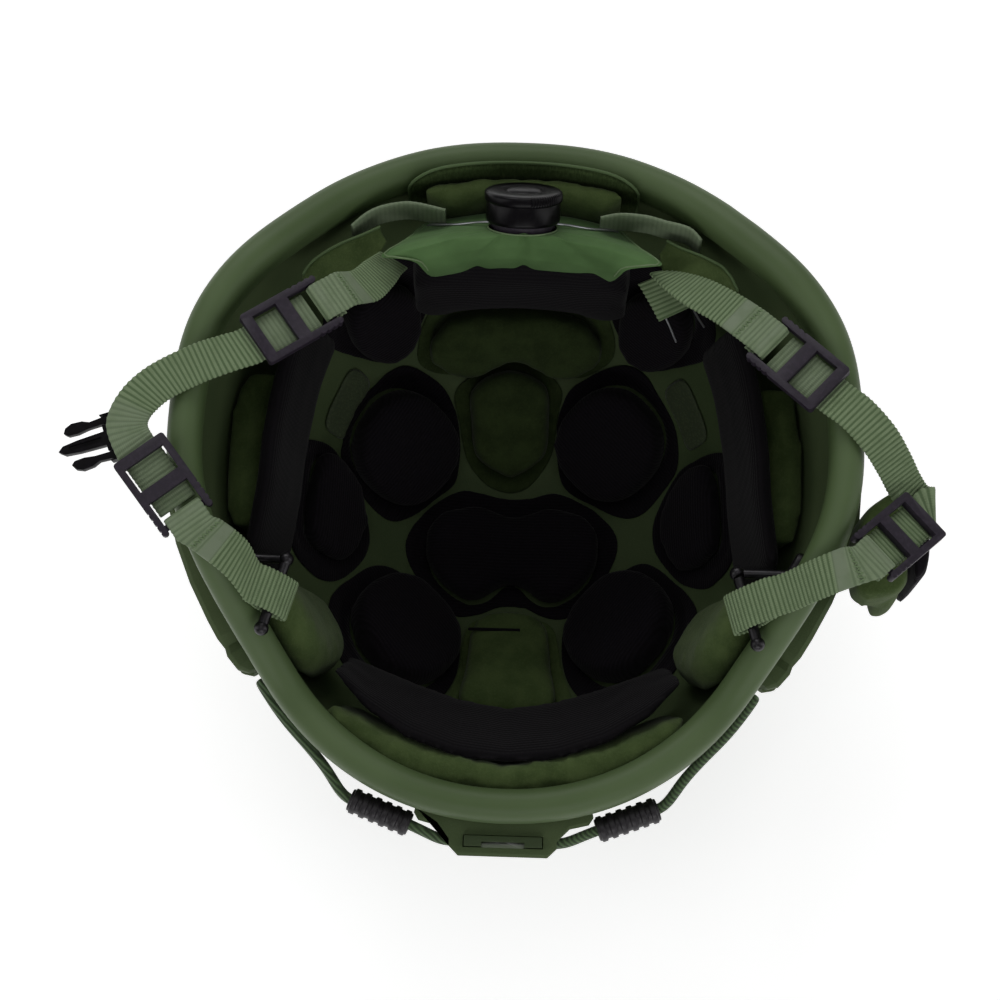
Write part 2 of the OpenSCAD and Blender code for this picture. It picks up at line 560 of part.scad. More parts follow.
// Tension dial: a collar sunk in the pad, its post, and the knob that turns on it
post_d = 8;
post_top = 12;
turn_gap = 0.05;
module dial_base() placed() color(hard_black) difference() {
    on_dial() {
        translate([0, 0, -3]) cylinder(d = collar_d, h = 3 + collar_top - 1);
        translate([0, 0, -3.7]) cylinder(d = stub_d, h = 5);
        cylinder(d = collar_d - 2, h = collar_top);
        cylinder(d = post_d, h = post_top);
    }
    on_dial() translate([-20, 0, lace_up]) rotate([0, 90, 0]) cylinder(d = lace_d + 0.7, h = 40);
}
knob_low = collar_top + 0.35;
knob_flutes = 24;
flute_d = 2.4;
module dial_knob() placed() color(hard_black) on_dial() difference() {
    translate([0, 0, knob_low]) {
        cylinder(d = knob_d - 1.6, h = knob_h - 1.6);
        translate([0, 0, 0.8]) cylinder(d = knob_d, h = knob_h - 3.4);
        cylinder(d = knob_d - 5, h = knob_h - 1.6);
    }
    for (k = [0:knob_flutes - 1]) rotate([0, 0, 360 * k / knob_flutes])
        translate([knob_d / 2 + 0.55, 0, 0]) cylinder(d = flute_d, h = 30);
    translate([0, 0, knob_low - 1]) cylinder(d = post_d + 2 * turn_gap, h = post_top - knob_low + 1.6);
    translate([0, 0, knob_low + knob_h - 2.4]) difference() {
        cylinder(d = knob_d - 9, h = 2);
        translate([0, 0, -1]) cylinder(d = knob_d - 15, h = 4);
    }
}
function tilted(y, z) = [0, y * cos(dial_tilt) - z * sin(dial_tilt),
                         y * sin(dial_tilt) + z * cos(dial_tilt)];
lace_mid = dial_mid + tilted(0, lace_up);
lace_half = concat([[0, 0, 0] + lace_mid, [8, 0, 0] + lace_mid, [13, 0, 0] + lace_mid],
    [cover_pt(18, 5.1, 1.8), cover_pt(24, 5.4, 1.3), cover_pt(29, 5.8, 1.25),
     cover_pt(33.5, 6.2, 1.3), cover_pt(eyelet_x, 6.6, 0.5), cover_pt(eyelet_x, 6.62, -0.8)]);
module dial_lace() placed() color(steel) tube(open_curve(concat(
    [for (i = [len(lace_half) - 1:-1:1]) [-lace_half[i][0], lace_half[i][1], lace_half[i][2]]],
    lace_half), 2), lace_d, 6);

// Webbing: each station is a point and the vector from it to the edge of the strip
module ribbon(stations, thick = web_t) {
    n = len(stations);
    skin([for (i = [0:n - 1])
        let (p = stations[i][0], w = stations[i][1],
             t = unit(stations[min(n - 1, i + 1)][0] - stations[max(0, i - 1)][0]),
             up = unit(cross(t, w)) * thick / 2, side = w * (1 - thick / 2 / norm(w)))
        [p - w, p - side - up, p + side - up, p + w, p + side + up, p - side + up]]);
}

// Strap adjusters: a frame whose origin is the sewn end's bar, s towards the sewn strap
slider_end = 2.5;
window_half = web_w / 2 + 0.6;
adjuster_t = 3.4;
bar_d = 2.4;
slider_out = slider_l - slider_end;
function frame_of(inner, outer) =
    let (s = unit(inner - outer), n = unit([0, 0, 1] - s * s[2]))
    [beside((inner + outer) / 2) + s * (slider_l / 2 - slider_end), s, n, cross(n, s)];
function on_frame(f, s, n, w = 0) = f[0] + f[1] * s + f[2] * n + f[3] * w;
module in_frame(f) translate(f[0])
    rotate([atan2(f[3][2], f[2][2]), -asin(f[1][2]), atan2(f[1][1], f[1][0])]) children();
module adjuster(f) in_frame(f) difference() {
    union() {
        for (side = [-1, 1]) translate([0, side * (window_half + slider_rail / 2), -adjuster_t / 2])
            linear_extrude(adjuster_t) {
                translate([-slider_out + 1.3, -slider_rail / 2])
                    square([slider_l - 2.6, slider_rail]);
                translate([-slider_out + 1.3, 0]) circle(d = slider_rail, $fn = 20);
                translate([slider_end - 1.3, 0]) circle(d = slider_rail, $fn = 20);
            }
        translate([-slider_out, -window_half - 1, -1.1]) cube([4, 2 * window_half + 2, 2.8]);
        translate([-15.5, -window_half - 1, -1.1]) cube([5, 2 * window_half + 2, 2.8]);
        translate([0, window_half + 1, 0]) rotate([90, 0, 0])
            cylinder(d = bar_d, h = 2 * window_half + 2);
    }
    for (side = [-1, 1], k = [0:3])
        translate([0.3 - 2.6 * k, side * (window_half + slider_rail + 0.35), -5])
            cylinder(d = 1.5, h = 10);
}
bar_turn = bar_d / 2 + web_gap + web_t / 2;
web_under = -1.1 - web_gap - web_t / 2;
half_web = web_w / 2;
function hem(f) = let (w = f[3] * half_web) concat(
    [[on_frame(f, 6, -1.5), w], [on_frame(f, 3, -2.05), w]],
    [for (a = [270:-30:90]) [on_frame(f, bar_turn * cos(a), bar_turn * sin(a)), w]],
    [[on_frame(f, 3, 2.05), w], [on_frame(f, 6, 1.6), w]]);
function web_in(f, flip) = let (w = f[3] * half_web * flip)
    [for (s = [-4.6, -13, -slider_out + 2, -slider_out - 3])
        [on_frame(f, s, s < -slider_out ? web_under + 0.2 : web_under), w]];

// Strap anchors: a steel rod with ball ends on an arm from a plate on the wall
anchor_mid = beside([86, -50, 149.5]);
strap_root = beside([48, 78, 146]);
swing_axis = unit(anchor_mid - strap_root);
anchor_foot = beside([102.4, -36, 145.5]);
anchor_near = anchor_mid - swing_axis * rod_l / 2;
module strap_anchor() {
    along(anchor_near, anchor_near + swing_axis * rod_l) cylinder(d = rod_d, h = rod_l);
    for (p = [anchor_near, anchor_near + swing_axis * rod_l]) translate(p) sphere(d = rod_d + 1.4);
    along(anchor_near, anchor_foot) cylinder(d = rod_d - 0.6, h = norm(anchor_foot - anchor_near));
    domed_skin(shell_pt(-19.5, 144, wall + seat_gap), [for (k = [[0.6, 0], [1, 0], [1, 3], [0.9, 3.8]])
        [for (c = oval(4.6, 7.5, 4, 16)) shell_pt(-19.5 + c[0] * k[0], 143.5 + c[1] * k[0],
                                                 wall + seat_gap + k[1])]],
               shell_pt(-19.5, 143.5, wall + seat_gap + 4));
}
module strap_anchor_right() placed() color(steel) strap_anchor();
module strap_anchor_left() placed() color(steel) mirror([1, 0, 0]) strap_anchor();

// Rod loop: frame with its origin on the rod, s towards the strap
function rod_frame(side, lead) =
    let (o = [side * anchor_mid[0], anchor_mid[1], anchor_mid[2]],
         a = [side * swing_axis[0], swing_axis[1], swing_axis[2]],
         s = unit(lead - a * (lead * a)), n = cross(a, s) * (cross(a, s)[2] > 0 ? 1 : -1))
    [o, s, n, cross(n, s)];
rod_turn = rod_d / 2 + web_gap + web_t / 2;
function rod_loop(f) = let (w = f[3] * half_web) [
    [on_frame(f, 13, 1.1), w], [on_frame(f, 8.5, 1.9), w], [on_frame(f, 4, 2.8), w],
    [on_frame(f, 0, rod_turn + 0.05), w], [on_frame(f, -4, 2.8), w],
    [on_frame(f, -7.2, 1.9), w], [on_frame(f, -8.5, 0), w], [on_frame(f, -7.2, -1.9), w],
    [on_frame(f, -4, -2.8), w], [on_frame(f, 0, -rod_turn - 0.05), w],
    [on_frame(f, 4, -2.5), w], [on_frame(f, 8.5, -0.7), w], [on_frame(f, 12.5, -0.75), w]];

// Left strap
left_rear = frame_of([-69.9, 55.2, 172], [-95.2, 36.8, 178]);
left_front = frame_of([-114.5, -30.6, 178.3], [-134.6, -5, 180]);
left_rod = rod_frame(-1, [-8, 6, 11]);
module rear_slider_left() placed() color(hard_black) adjuster(left_rear);
module front_slider_left() placed() color(hard_black) adjuster(left_front);
module rear_strap_left() placed() color(web_green) ribbon(concat(hem(left_rear),
    open_curve([[on_frame(left_rear, 10, 1.1), left_rear[3] * half_web],
                each follow([[[-57.4, 63.7, 163.4], [-5.2, 4.9, 2]],
                             [[-53, 71.4, 154.2], [-5.4, 3.6, 3.4]],
                             [[-50.3, 77, 147.6], [-5.2, 2, 4.6]]])], 3)));
module y_strap_left() placed() color(web_green) ribbon(concat(web_in(left_rear, 1),
    open_curve(follow([[[-104.5, 32.2, 177.6], [-4, 6.3, 0]],
                       [[-115, 28, 177.5], [-3.4, 6.7, 0]], [[-128.5, 20.6, 177], [-5, 5.6, 0]],
                       [[-136.3, 13, 176.4], [-6.6, 3.5, 0]],
                       [[-139.3, 5, 176.6], [-7.5, -0.4, 0]]]), 2),
    turned(web_in(left_front, -1))));
module front_strap_left() placed() color(web_green) ribbon(concat(hem(left_front),
    open_curve([each follow([[[-108, -35.2, 177.7], [5, 5.6, 0]],
                             [[-98.6, -41, 168.2], [3.6, 6.5, 0.6]]]),
                rod_loop(left_rod)[0]], 3),
    [for (i = [1:len(rod_loop(left_rod)) - 1]) rod_loop(left_rod)[i]]));

// Right strap: its loose end doubles back under the front adjuster
right_rear = frame_of([88.2, 46.7, 173], [113.4, 23.6, 179.4]);
right_front = frame_of([126.6, -36.6, 178], [149, -15.5, 163.5]);
right_rod = rod_frame(1, [8, 6, 11]);
module rear_slider_right() placed() color(hard_black) adjuster(right_rear);
module front_slider_right() placed() color(hard_black) adjuster(right_front);
module rear_strap_right() placed() color(web_green) ribbon(concat(hem(right_rear),
    open_curve([[on_frame(right_rear, 10, 1.1), right_rear[3] * half_web],
                each follow([[[75.5, 58.5, 167], [-4.8, -5.7, 1]],
                             [[65, 66.5, 160], [-5, -5.4, 1.6]],
                             [[56.8, 73.2, 152.5], [-4.4, -4.2, 4.2]],
                             [[51, 77.6, 147.4], [-3.2, -2.4, 5.8]]])], 3)));
module y_strap_right() placed() color(web_green) ribbon(concat(web_in(right_rear, 1),
    open_curve([each follow([[[122.1, 16.7, 178.4], [-5.2, -5.4, 0]],
                             [[130.5, 8.3, 175.6], [-5.6, -5, 0]],
                             [[137, 1, 168], [-5.7, -4.8, 0.6]],
                             [[141.5, -4.5, 161.3], [-5.5, -5, 1]],
                             [[146, -9.6, 157.6], [-4.2, -6.4, 0.6]],
                             [[150, -12.8, 156.7], [-1.6, -9, 0]],
                             [[152.6, -14.5, 159], [0, -10, 0]]]),
                [on_frame(right_front, -slider_out - 3.6, web_under - 0.1), [3, -8.6, 0]],
                [on_frame(right_front, -slider_out + 1, web_under), right_front[3] * half_web]], 2),
    [for (s = [-13, -4.6]) [on_frame(right_front, s, web_under), right_front[3] * half_web]]));
module front_strap_right() placed() color(web_green) ribbon(concat(hem(right_front),
    open_curve([each follow([[[118, -39.8, 179.2], [1.5, -7.3, 0]],
                             [[109, -43, 174.4], [1.9, -7.2, 0.4]],
                             [[99, -46.3, 164], [2, -7.1, 1]]]), rod_loop(right_rod)[0]], 3),
    [for (i = [1:len(rod_loop(right_rod)) - 1]) rod_loop(right_rod)[i]]));

// Rear tabs: webbing from the rear cushion to the root of each strap
module rear_tab(end) ribbon(open_curve([
    [[30, 94.4, 150.5], [0, -4, 6.4]], [[40, 92.6, 149.9], [0.5, -4.2, 6.2]],
    [[48, 87.6, 149.4], [2, -4.4, 5.8]], [end, [4, -3.2, 5.4]]], 3));
module rear_tab_right() placed() color(web_green) rear_tab([54, 77.9, 149.4]);
module rear_tab_left() placed() color(web_green)
    mirror([1, 0, 0]) rear_tab([52.6, 81.4, 149.2]);

// Buckle plug under the left strap: a bar, a grooved guide and two sprung prongs
plug_bar = beside([-137.8, 3.4, 173.4]);
plug_dir = unit([-18.6, -6.1, -1.8]);
plug = let (n = unit([0, 0, 1] - plug_dir * plug_dir[2])) [plug_bar, plug_dir, n, cross(n, plug_dir)];
plug_half_w = 8.8;
prong_root = [8.2, 6.6];
knuckle_r = 1.7;
plug_t = 4.4;
module buckle_plug() placed() color(hard_black) in_frame(plug) difference() {
    union() {
        translate([0, plug_half_w + 0.9, 0]) rotate([90, 0, 0])
            cylinder(d = 3, h = 2 * plug_half_w + 1.8);
        for (side = [-1, 1]) translate([-1.4, side * (plug_half_w + 0.1) - 0.9, -1.5])
            cube([6.5, 1.8, 3]);
        translate([4, -plug_half_w, -3.4]) cube([6, 2 * plug_half_w, plug_t]);
        translate([0, 0, -2.9]) linear_extrude(3.4)
            polygon([[9, -2.6], [20, -2.2], [25.6, -1.6], [27.6, 0], [25.6, 1.6], [20, 2.2], [9, 2.6]]);
    }
    translate([11.5, -0.9, -0.6]) cube([12, 1.8, 3]);
    for (side = [-1, 1]) translate([prong_root[0], side * prong_root[1], -10]) {
        cylinder(r = knuckle_r + turn_gap, h = 20);
        translate([0, -knuckle_r - 0.1, 0]) cube([5, 2 * knuckle_r + 0.2, 20]);
    }
}
prong_outline = [[0.6, 1.3], [6, 0.9], [8.5, 2], [12.4, 2.3], [15, 1.2], [16, -0.6], [14.6, -1.8],
                 [11, -2], [7, -1.4], [0.6, -1.3]];
module prong(side) in_frame(plug) translate([prong_root[0], side * prong_root[1], -2.9]) {
    cylinder(r = knuckle_r, h = 3.4);
    linear_extrude(3.4) polygon([for (c = prong_outline) [c[0], side * c[1]]]);
}
module buckle_prong_rear() placed() color(hard_black) prong(-1);
module buckle_prong_front() placed() color(hard_black) prong(1);

// Chin side, hanging from the right strap: webbing, padded cup, liner and socket
chin_x = 146.5;
chin_y = -12;
chin_top = 154.6;
chin_low = 87;
bead_d = 2.4;
cup_face = chin_x - 1;
cup_gap = 0.35;
module chin_strap() placed() outboard() color(web_green) {
    translate([chin_x, chin_y - half_web, chin_top]) rotate([-90, 0, 0])
        cylinder(d = bead_d, h = web_w);
    translate([chin_x - web_t / 2, chin_y - half_web, chin_low])
        cube([web_t, web_w, chin_top - chin_low]);
}
cup_plan = [[124.8, -23], [126, -16], [130.5, -9], [138.5, -3], [cup_face - 2, -2.6],
            [cup_face, -5], [cup_face, -38], [142, -42.2], [136, -44.4], [129.5, -45],
            [125, -42], [124, -33]];
cup_levels = [[99, 0.8, 1], [101.5, 0.94, 1], [110, 1, 1], [122, 1, 1], [130, 1, 0], [146, 1, 0],
              [149.4, 0.94, 0], [150.4, 0.78, 0]];
cup_in = 134.2;
function cup_pt(c, lv) = let (mid = [136, -24], d = mid + (c - mid) * lv[1],
    x = lv[2] == 0 ? d[0] : cup_in + (d[0] - 124) * (cup_face - cup_in) / (cup_face - 124))
    [min(x, cup_face), d[1], lv[0]];
module chin_cup() placed() outboard() color(soft_green)
    skin([for (lv = cup_levels) [for (c = cup_plan) cup_pt(c, lv)]]);
liner_plan = [[cup_face + cup_gap, -4], [150, -2.6], [152.8, -4.6], [153.6, -10], [153.8, -27],
              [152.4, -34], [149, -38], [cup_face + cup_gap, -39.5]];
liner_levels = [[100, 0.86], [102, 0.97], [112, 1], [145, 1], [148, 0.97], [150, 0.86]];
module chin_cup_liner() placed() outboard() color(soft_black) difference() {
    skin([for (lv = liner_levels) [for (c = liner_plan) let (mid = [cup_face + cup_gap, -21])
        [mid[0] + (c[0] - mid[0]) * lv[1], mid[1] + (c[1] - mid[1]) * lv[1], lv[0]]]]);
    translate([chin_x - 5, chin_y - half_web - web_gap, 90])
        cube([5 + web_t / 2 + web_gap, web_w + 2 * web_gap, 70]);
}
socket_w = 23;
socket_t = 9.5;
socket_l = 27;
socket_top = 91;
module buckle_socket() placed() outboard() color(hard_black)
    translate([chin_x, chin_y, socket_top - socket_l]) difference() {
        translate([-socket_t / 2, -socket_w / 2, 0]) cube([socket_t, socket_w, socket_l]);
        translate([-2.9, -9.4, -1]) cube([5.8, 18.8, 19]);
        translate([-web_t / 2 - web_gap, -half_web - web_gap, socket_l - 5])
            cube([web_t + 2 * web_gap, web_w + 2 * web_gap, 6]);
        for (side = [-1, 1]) translate([0, side * socket_w / 2, 9]) rotate([0, 90, 0])
            cylinder(d = 8, h = 20, center = true);
    }

shell();
edge_trim();
brow_mount();
mount_insert();
rail_left();
rail_right();
shock_cord_left();
shock_cord_right();
cord_hook_left();
cord_hook_right();
crown_pad();
rear_pad_left();
rear_pad_right();
front_pad_left();
front_pad_right();
shield_pad();
nape_bean_pad();
forehead_pad();
corner_pad_left();
corner_pad_right();
side_pad_left();
side_pad_right();
hook_tape_left();
hook_tape_right();
temple_pad_left();
temple_pad_right();
brow_cushion();
brow_band();
side_band_left();
side_band_right();
side_cushion_left();
side_cushion_right();
rear_cushion();
rear_panel();
nape_pad();
nape_cover();
dial_base();
dial_knob();
dial_lace();
strap_anchor_left();
strap_anchor_right();
rear_tab_left();
rear_tab_right();
rear_strap_left();
rear_slider_left();
y_strap_left();
front_slider_left();
front_strap_left();
rear_strap_right();
rear_slider_right();
y_strap_right();
front_slider_right();
front_strap_right();
buckle_plug();
buckle_prong_front();
buckle_prong_rear();
chin_strap();
chin_cup();
chin_cup_liner();
buckle_socket();
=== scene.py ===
import json
import math

import bmesh
import bpy
import numpy as np
from mathutils import Matrix, Vector
from mathutils.bvhtree import BVHTree


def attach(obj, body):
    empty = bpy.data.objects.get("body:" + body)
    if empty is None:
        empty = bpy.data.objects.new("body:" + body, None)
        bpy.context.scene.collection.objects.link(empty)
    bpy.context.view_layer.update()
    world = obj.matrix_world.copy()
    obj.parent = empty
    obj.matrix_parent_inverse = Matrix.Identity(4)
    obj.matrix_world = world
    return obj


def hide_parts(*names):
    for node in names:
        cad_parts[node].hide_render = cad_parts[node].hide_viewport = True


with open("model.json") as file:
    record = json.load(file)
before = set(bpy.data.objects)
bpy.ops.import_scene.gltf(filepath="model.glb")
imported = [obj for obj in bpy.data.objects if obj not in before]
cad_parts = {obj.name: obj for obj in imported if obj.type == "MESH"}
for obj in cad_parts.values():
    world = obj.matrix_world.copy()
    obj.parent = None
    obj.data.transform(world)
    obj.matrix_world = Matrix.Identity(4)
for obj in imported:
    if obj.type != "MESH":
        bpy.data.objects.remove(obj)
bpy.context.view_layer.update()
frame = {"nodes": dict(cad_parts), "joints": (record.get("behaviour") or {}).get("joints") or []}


# The studio: a seamless white table under soft panels, seen from above the brow.
# Every place is in metres in the helmet's own frame, crown down on the table. drawn_about
# is where that frame has the origin of the helmet's drawing, in mm.
drawn_about = np.array([4.14, 5.29, 0])


def at_mm(x, y, z):
    """A point of the helmet's drawing, which is in mm about the dome's middle."""
    return Vector(drawn_about + [x, y, z]) / 1000


look_tilt = math.radians(13.5)
look_roll = math.radians(1.85)
look_at = at_mm(0, -8.8, 165)
look_back = Vector((0, -math.sin(look_tilt), math.cos(look_tilt)))
level_up = Vector((0, math.cos(look_tilt), math.sin(look_tilt)))
level_right = Vector((1, 0, 0))
look_right = math.cos(look_roll) * level_right + math.sin(look_roll) * level_up
look_up = math.cos(look_roll) * level_up - math.sin(look_roll) * level_right
camera = bpy.data.objects.new("camera", bpy.data.cameras.new("camera"))
camera.data.sensor_width = 36
camera.data.lens = 94.73
camera.data.shift_x = -0.0145
camera.data.shift_y = -0.019
camera.data.clip_start, camera.data.clip_end = 0.05, 20
turn = Matrix((look_right, look_up, look_back)).transposed()
eye = look_at + 0.95 * look_back
camera.matrix_world = Matrix.Translation(eye) @ turn.to_4x4()
bpy.context.scene.collection.objects.link(camera)
bpy.context.scene.camera = camera
bpy.context.scene.view_settings.view_transform = "Standard"


frame_px = 1000


def under_pixel(across, down, surface):
    """Where the camera's line through a pixel of the square frame meets a surface."""
    span = camera.data.sensor_width / camera.data.lens
    right = ((across - frame_px / 2) / frame_px + camera.data.shift_x) * span
    up = ((frame_px / 2 - down) / frame_px + camera.data.shift_y) * span
    way = (look_right * right + look_up * up - look_back).normalized()
    return surface.ray_cast(eye, way)[:2]


lit_middle = Vector((0, 0, 0.1))


def soft_panel(name, spot, size, power):
    """A soft box that faces the middle of the helmet."""
    lamp = bpy.data.lights.new(name, "AREA")
    lamp.shape, lamp.size, lamp.size_y, lamp.energy = "RECTANGLE", size[0], size[1], power
    panel = bpy.data.objects.new(name, lamp)
    panel.location = spot
    panel.rotation_euler = (Vector(spot) - lit_middle).to_track_quat("Z", "Y").to_euler()
    bpy.context.scene.collection.objects.link(panel)


soft_panel("panel_back", (-0.25, 1.5, 1.15), (1.6, 0.8), 12)
soft_panel("panel_left", (-1.6, -0.1, 0.95), (0.8, 1.6), 5.2)
soft_panel("panel_right", (1.6, -0.2, 0.85), (0.8, 1.6), 6)
soft_panel("panel_front", (0.1, -1.5, 0.9), (1.6, 0.7), 8.5)
soft_panel("panel_top", (0, 0.15, 2.2), (1.2, 1.2), 4)

sky = bpy.data.worlds.new("studio_air")
bpy.context.scene.world = sky
sky.use_nodes = True
air = sky.node_tree.nodes
air["Background"].inputs["Color"].default_value = (1, 1, 1, 1)
air["Background"].inputs["Strength"].default_value = 0.16
seen_white = air.new("ShaderNodeBackground")
seen_white.inputs["Color"].default_value = (1, 1, 1, 1)
seen_white.inputs["Strength"].default_value = 1
ray = air.new("ShaderNodeLightPath")
pick = air.new("ShaderNodeMixShader")
sky.node_tree.links.new(ray.outputs["Is Camera Ray"], pick.inputs[0])
sky.node_tree.links.new(air["Background"].outputs[0], pick.inputs[1])
sky.node_tree.links.new(seen_white.outputs[0], pick.inputs[2])
sky.node_tree.links.new(pick.outputs[0], air["World Output"].inputs["Surface"])


class Value:
    """One number in a node tree, so that its maths reads as ordinary maths."""

    def __init__(self, plan, socket):
        self.plan, self.socket = plan, socket

    def _maths(self, operation, *others):
        return self.plan.node("ShaderNodeMath", {"operation": operation}, [self, *others])

    def __add__(self, other):
        return self._maths("ADD", other)

    def __sub__(self, other):
        return self._maths("SUBTRACT", other)

    def __mul__(self, other):
        return self._maths("MULTIPLY", other)

    def __truediv__(self, other):
        return self._maths("DIVIDE", other)

    def __rsub__(self, other):
        return self.plan.node("ShaderNodeMath", {"operation": "SUBTRACT"}, [other, self])

    __radd__ = __add__
    __rmul__ = __mul__

    def wave(self):
        return self._maths("SINE")

    def size(self):
        return self._maths("ABSOLUTE")

    def above(self, low, high):
        """0 below low, 1 above high, smooth between."""
        return self.plan.node("ShaderNodeMapRange",
                              {"interpolation_type": "SMOOTHSTEP"}, [self, low, high, 0, 1])


class Plan:
    """A node tree that is written as expressions."""

    def node(self, kind, settings, values, out=0):
        """Adds a node with its settings and inputs, and gives the value of one output."""
        made = self.tree.nodes.new(kind)
        for key, setting in settings.items():
            setattr(made, key, setting)
        pairs = values.items() if isinstance(values, dict) else enumerate(values)
        for key, value in pairs:
            if isinstance(value, Value):
                self.tree.links.new(value.socket, made.inputs[key])
            else:
                made.inputs[key].default_value = value
        return Value(self, made.outputs[out])


class Finish(Plan):
    """A material."""

    def __init__(self, name, rough, **fixed):
        self.material = bpy.data.materials.new(name)
        self.material.use_nodes = True
        self.tree = self.material.node_tree
        self.shader = self.tree.nodes["Principled BSDF"]
        self.shader.inputs["Roughness"].default_value = rough
        for socket, number in fixed.items():
            self.shader.inputs[socket.replace("_", " ")].default_value = number

    def place(self, stretch=(1, 1, 1)):
        """Object coordinates in mm."""
        spot = self.node("ShaderNodeTexCoord", {}, {}, "Object")
        return self.node("ShaderNodeMapping", {}, {0: spot, 3: [1000 * s for s in stretch]})

    def laid(self, part):
        """The piece's own cloth coordinates in mm: part 0 runs across, part 1 along."""
        spot = self.node("ShaderNodeUVMap", {"uv_map": "cloth"}, {})
        return self.node("ShaderNodeSeparateXYZ", {}, [spot], part)

    def cloud(self, spot, scale, detail=3, rough=0.55):
        """Soft noise, about 0 to 1, with so many clumps to the mm."""
        return self.node("ShaderNodeTexNoise", {"noise_dimensions": "3D"},
                         {"Vector": spot, "Scale": scale, "Detail": detail, "Roughness": rough})

    def blend(self, share, one, two):
        """The first colour where share is 0, the second where it is 1."""
        def paint(c):
            return c if isinstance(c, Value) else tuple(c) + (1,)
        return self.node("ShaderNodeMix", {"data_type": "RGBA"},
                         {0: share, 6: paint(one), 7: paint(two)}, 2)

    def wear(self, colour, rough=None, height=None, depth=0.0, strength=1.0):
        """Joins the worked-out colour, roughness and height to the shader."""
        self.tree.links.new(colour.socket, self.shader.inputs["Base Color"])
        if rough is not None:
            self.tree.links.new(rough.socket, self.shader.inputs["Roughness"])
        if height is not None:
            bump = self.node("ShaderNodeBump", {}, {"Strength": strength, "Distance": depth,
                                                    "Height": height})
            self.tree.links.new(bump.socket, self.shader.inputs["Normal"])


def srgb(red, green, blue):
    """A colour as a paint chart gives it, 0 to 255, turned to light levels."""
    return tuple(((c / 255 + 0.055) / 1.055) ** 2.4 if c > 10 else c / 255 / 12.92
                 for c in (red, green, blue))


table_top = bpy.data.meshes.new("table_top")
table_top.from_pydata([(-4, -4, 0), (4, -4, 0), (4, 4, 0), (-4, 4, 0)], [], [(0, 1, 2, 3)])
floor = bpy.data.objects.new("table_top", table_top)
floor.location.z = -0.0005
bpy.context.scene.collection.objects.link(floor)
paper = Finish("white_paper", 0.9, Specular_IOR_Level=0.0)
paper.shader.inputs["Base Color"].default_value = (0.86, 0.86, 0.86, 1)
glow = paper.node("ShaderNodeEmission", {}, {"Color": (1, 1, 1, 1), "Strength": 0.55})
held = paper.node("ShaderNodeLightPath", {}, {}, "Is Camera Ray")
mirrored_ray = paper.node("ShaderNodeLightPath", {}, {}, "Is Glossy Ray")
both = paper.node("ShaderNodeAddShader", {}, [Value(paper, paper.shader.outputs[0]), glow])
shown = (held + mirrored_ray).above(0.2, 0.6)
paper_out = paper.node("ShaderNodeMixShader", {}, [shown, Value(paper, paper.shader.outputs[0]),
                                                   both])
paper.tree.links.new(paper_out.socket, paper.tree.nodes["Material Output"].inputs["Surface"])
table_top.materials.append(paper.material)


# The shell: a pressed aramid dome, 9 mm thick, painted in matte green with fine grit
# in the paint. It is one piece, swelled over the ears, with a plain cut edge.
def piece(name, mesh, material, body, node=None):
    """Puts a finished mesh into the scene as one named piece that rides on a body."""
    made = bpy.data.objects.new(name, mesh)
    bpy.context.scene.collection.objects.link(made)
    mesh.materials.clear()
    mesh.materials.append(material)
    mesh.shade_smooth()
    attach(made, body)
    if node:
        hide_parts(node)
    return made


def merged(node, paired=True):
    """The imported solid's mesh with its points merged, and its triangles paired if asked."""
    net = bmesh.new()
    net.from_mesh(frame["nodes"][node].data)
    bmesh.ops.remove_doubles(net, verts=net.verts, dist=2e-5)
    if paired:
        bmesh.ops.join_triangles(net, faces=net.faces, angle_face_threshold=0.6,
                                 angle_shape_threshold=3.1)
    bmesh.ops.recalc_face_normals(net, faces=net.faces)
    return net


def worked(made, *modifiers):
    """Applies modifiers, given as (kind, settings), and leaves a plain mesh."""
    for kind, settings in modifiers:
        step = made.modifiers.new(kind.lower(), kind)
        for key, setting in settings.items():
            setattr(step, key, setting)
    bpy.context.view_layer.update()
    result = bpy.data.meshes.new_from_object(
        made.evaluated_get(bpy.context.evaluated_depsgraph_get()))
    made.modifiers.clear()
    return result


def from_net(net, *modifiers):
    """Turns a net into a mesh, with modifiers applied."""
    mesh = bpy.data.meshes.new("raw")
    net.to_mesh(mesh)
    net.free()
    raw = bpy.data.objects.new("raw", mesh)
    bpy.context.scene.collection.objects.link(raw)
    result = worked(raw, *modifiers)
    bpy.data.objects.remove(raw)
    return result


def rounding(levels):
    """The modifier that rounds a mesh off by subdividing it."""
    return ("SUBSURF", {"levels": levels, "render_levels": levels})


paint = Finish("shell_paint", 0.75, Specular_IOR_Level=0.22)
grain = paint.cloud(paint.place(), 1.9, 4, 0.7)
drift = paint.cloud(paint.place(), 0.018, 3)
paint_tone = paint.blend(drift.above(0.3, 0.7), srgb(66, 81, 50), srgb(76, 90, 58))
paint_tone = paint.blend(grain.above(0.45, 0.75) * 0.35, paint_tone, srgb(94, 108, 76))
paint.wear(paint_tone, 0.62 + 0.2 * grain, grain, 0.00022, 0.55)
piece("dome_shell", from_net(merged("shell"), rounding(2)), paint.material, "helmet",
      "shell")

# The edge trim: an extruded rubber channel pushed over the cut edge and glued, smooth
# and a little glossier than the paint, with a soft roll along its top.
rubber = Finish("trim_rubber", 0.55, Specular_IOR_Level=0.3)
skin = rubber.cloud(rubber.place(), 0.9, 3, 0.6)
cast = rubber.cloud(rubber.place(), 0.02, 2)
rubber_tone = rubber.blend(cast.above(0.3, 0.7), srgb(75, 93, 57), srgb(84, 102, 66))
rubber.wear(rubber_tone, 0.44 + 0.16 * skin, skin, 0.00008, 0.4)
piece("rim_trim", from_net(merged("edge_trim"), rounding(2)), rubber.material, "helmet",
      "edge_trim")


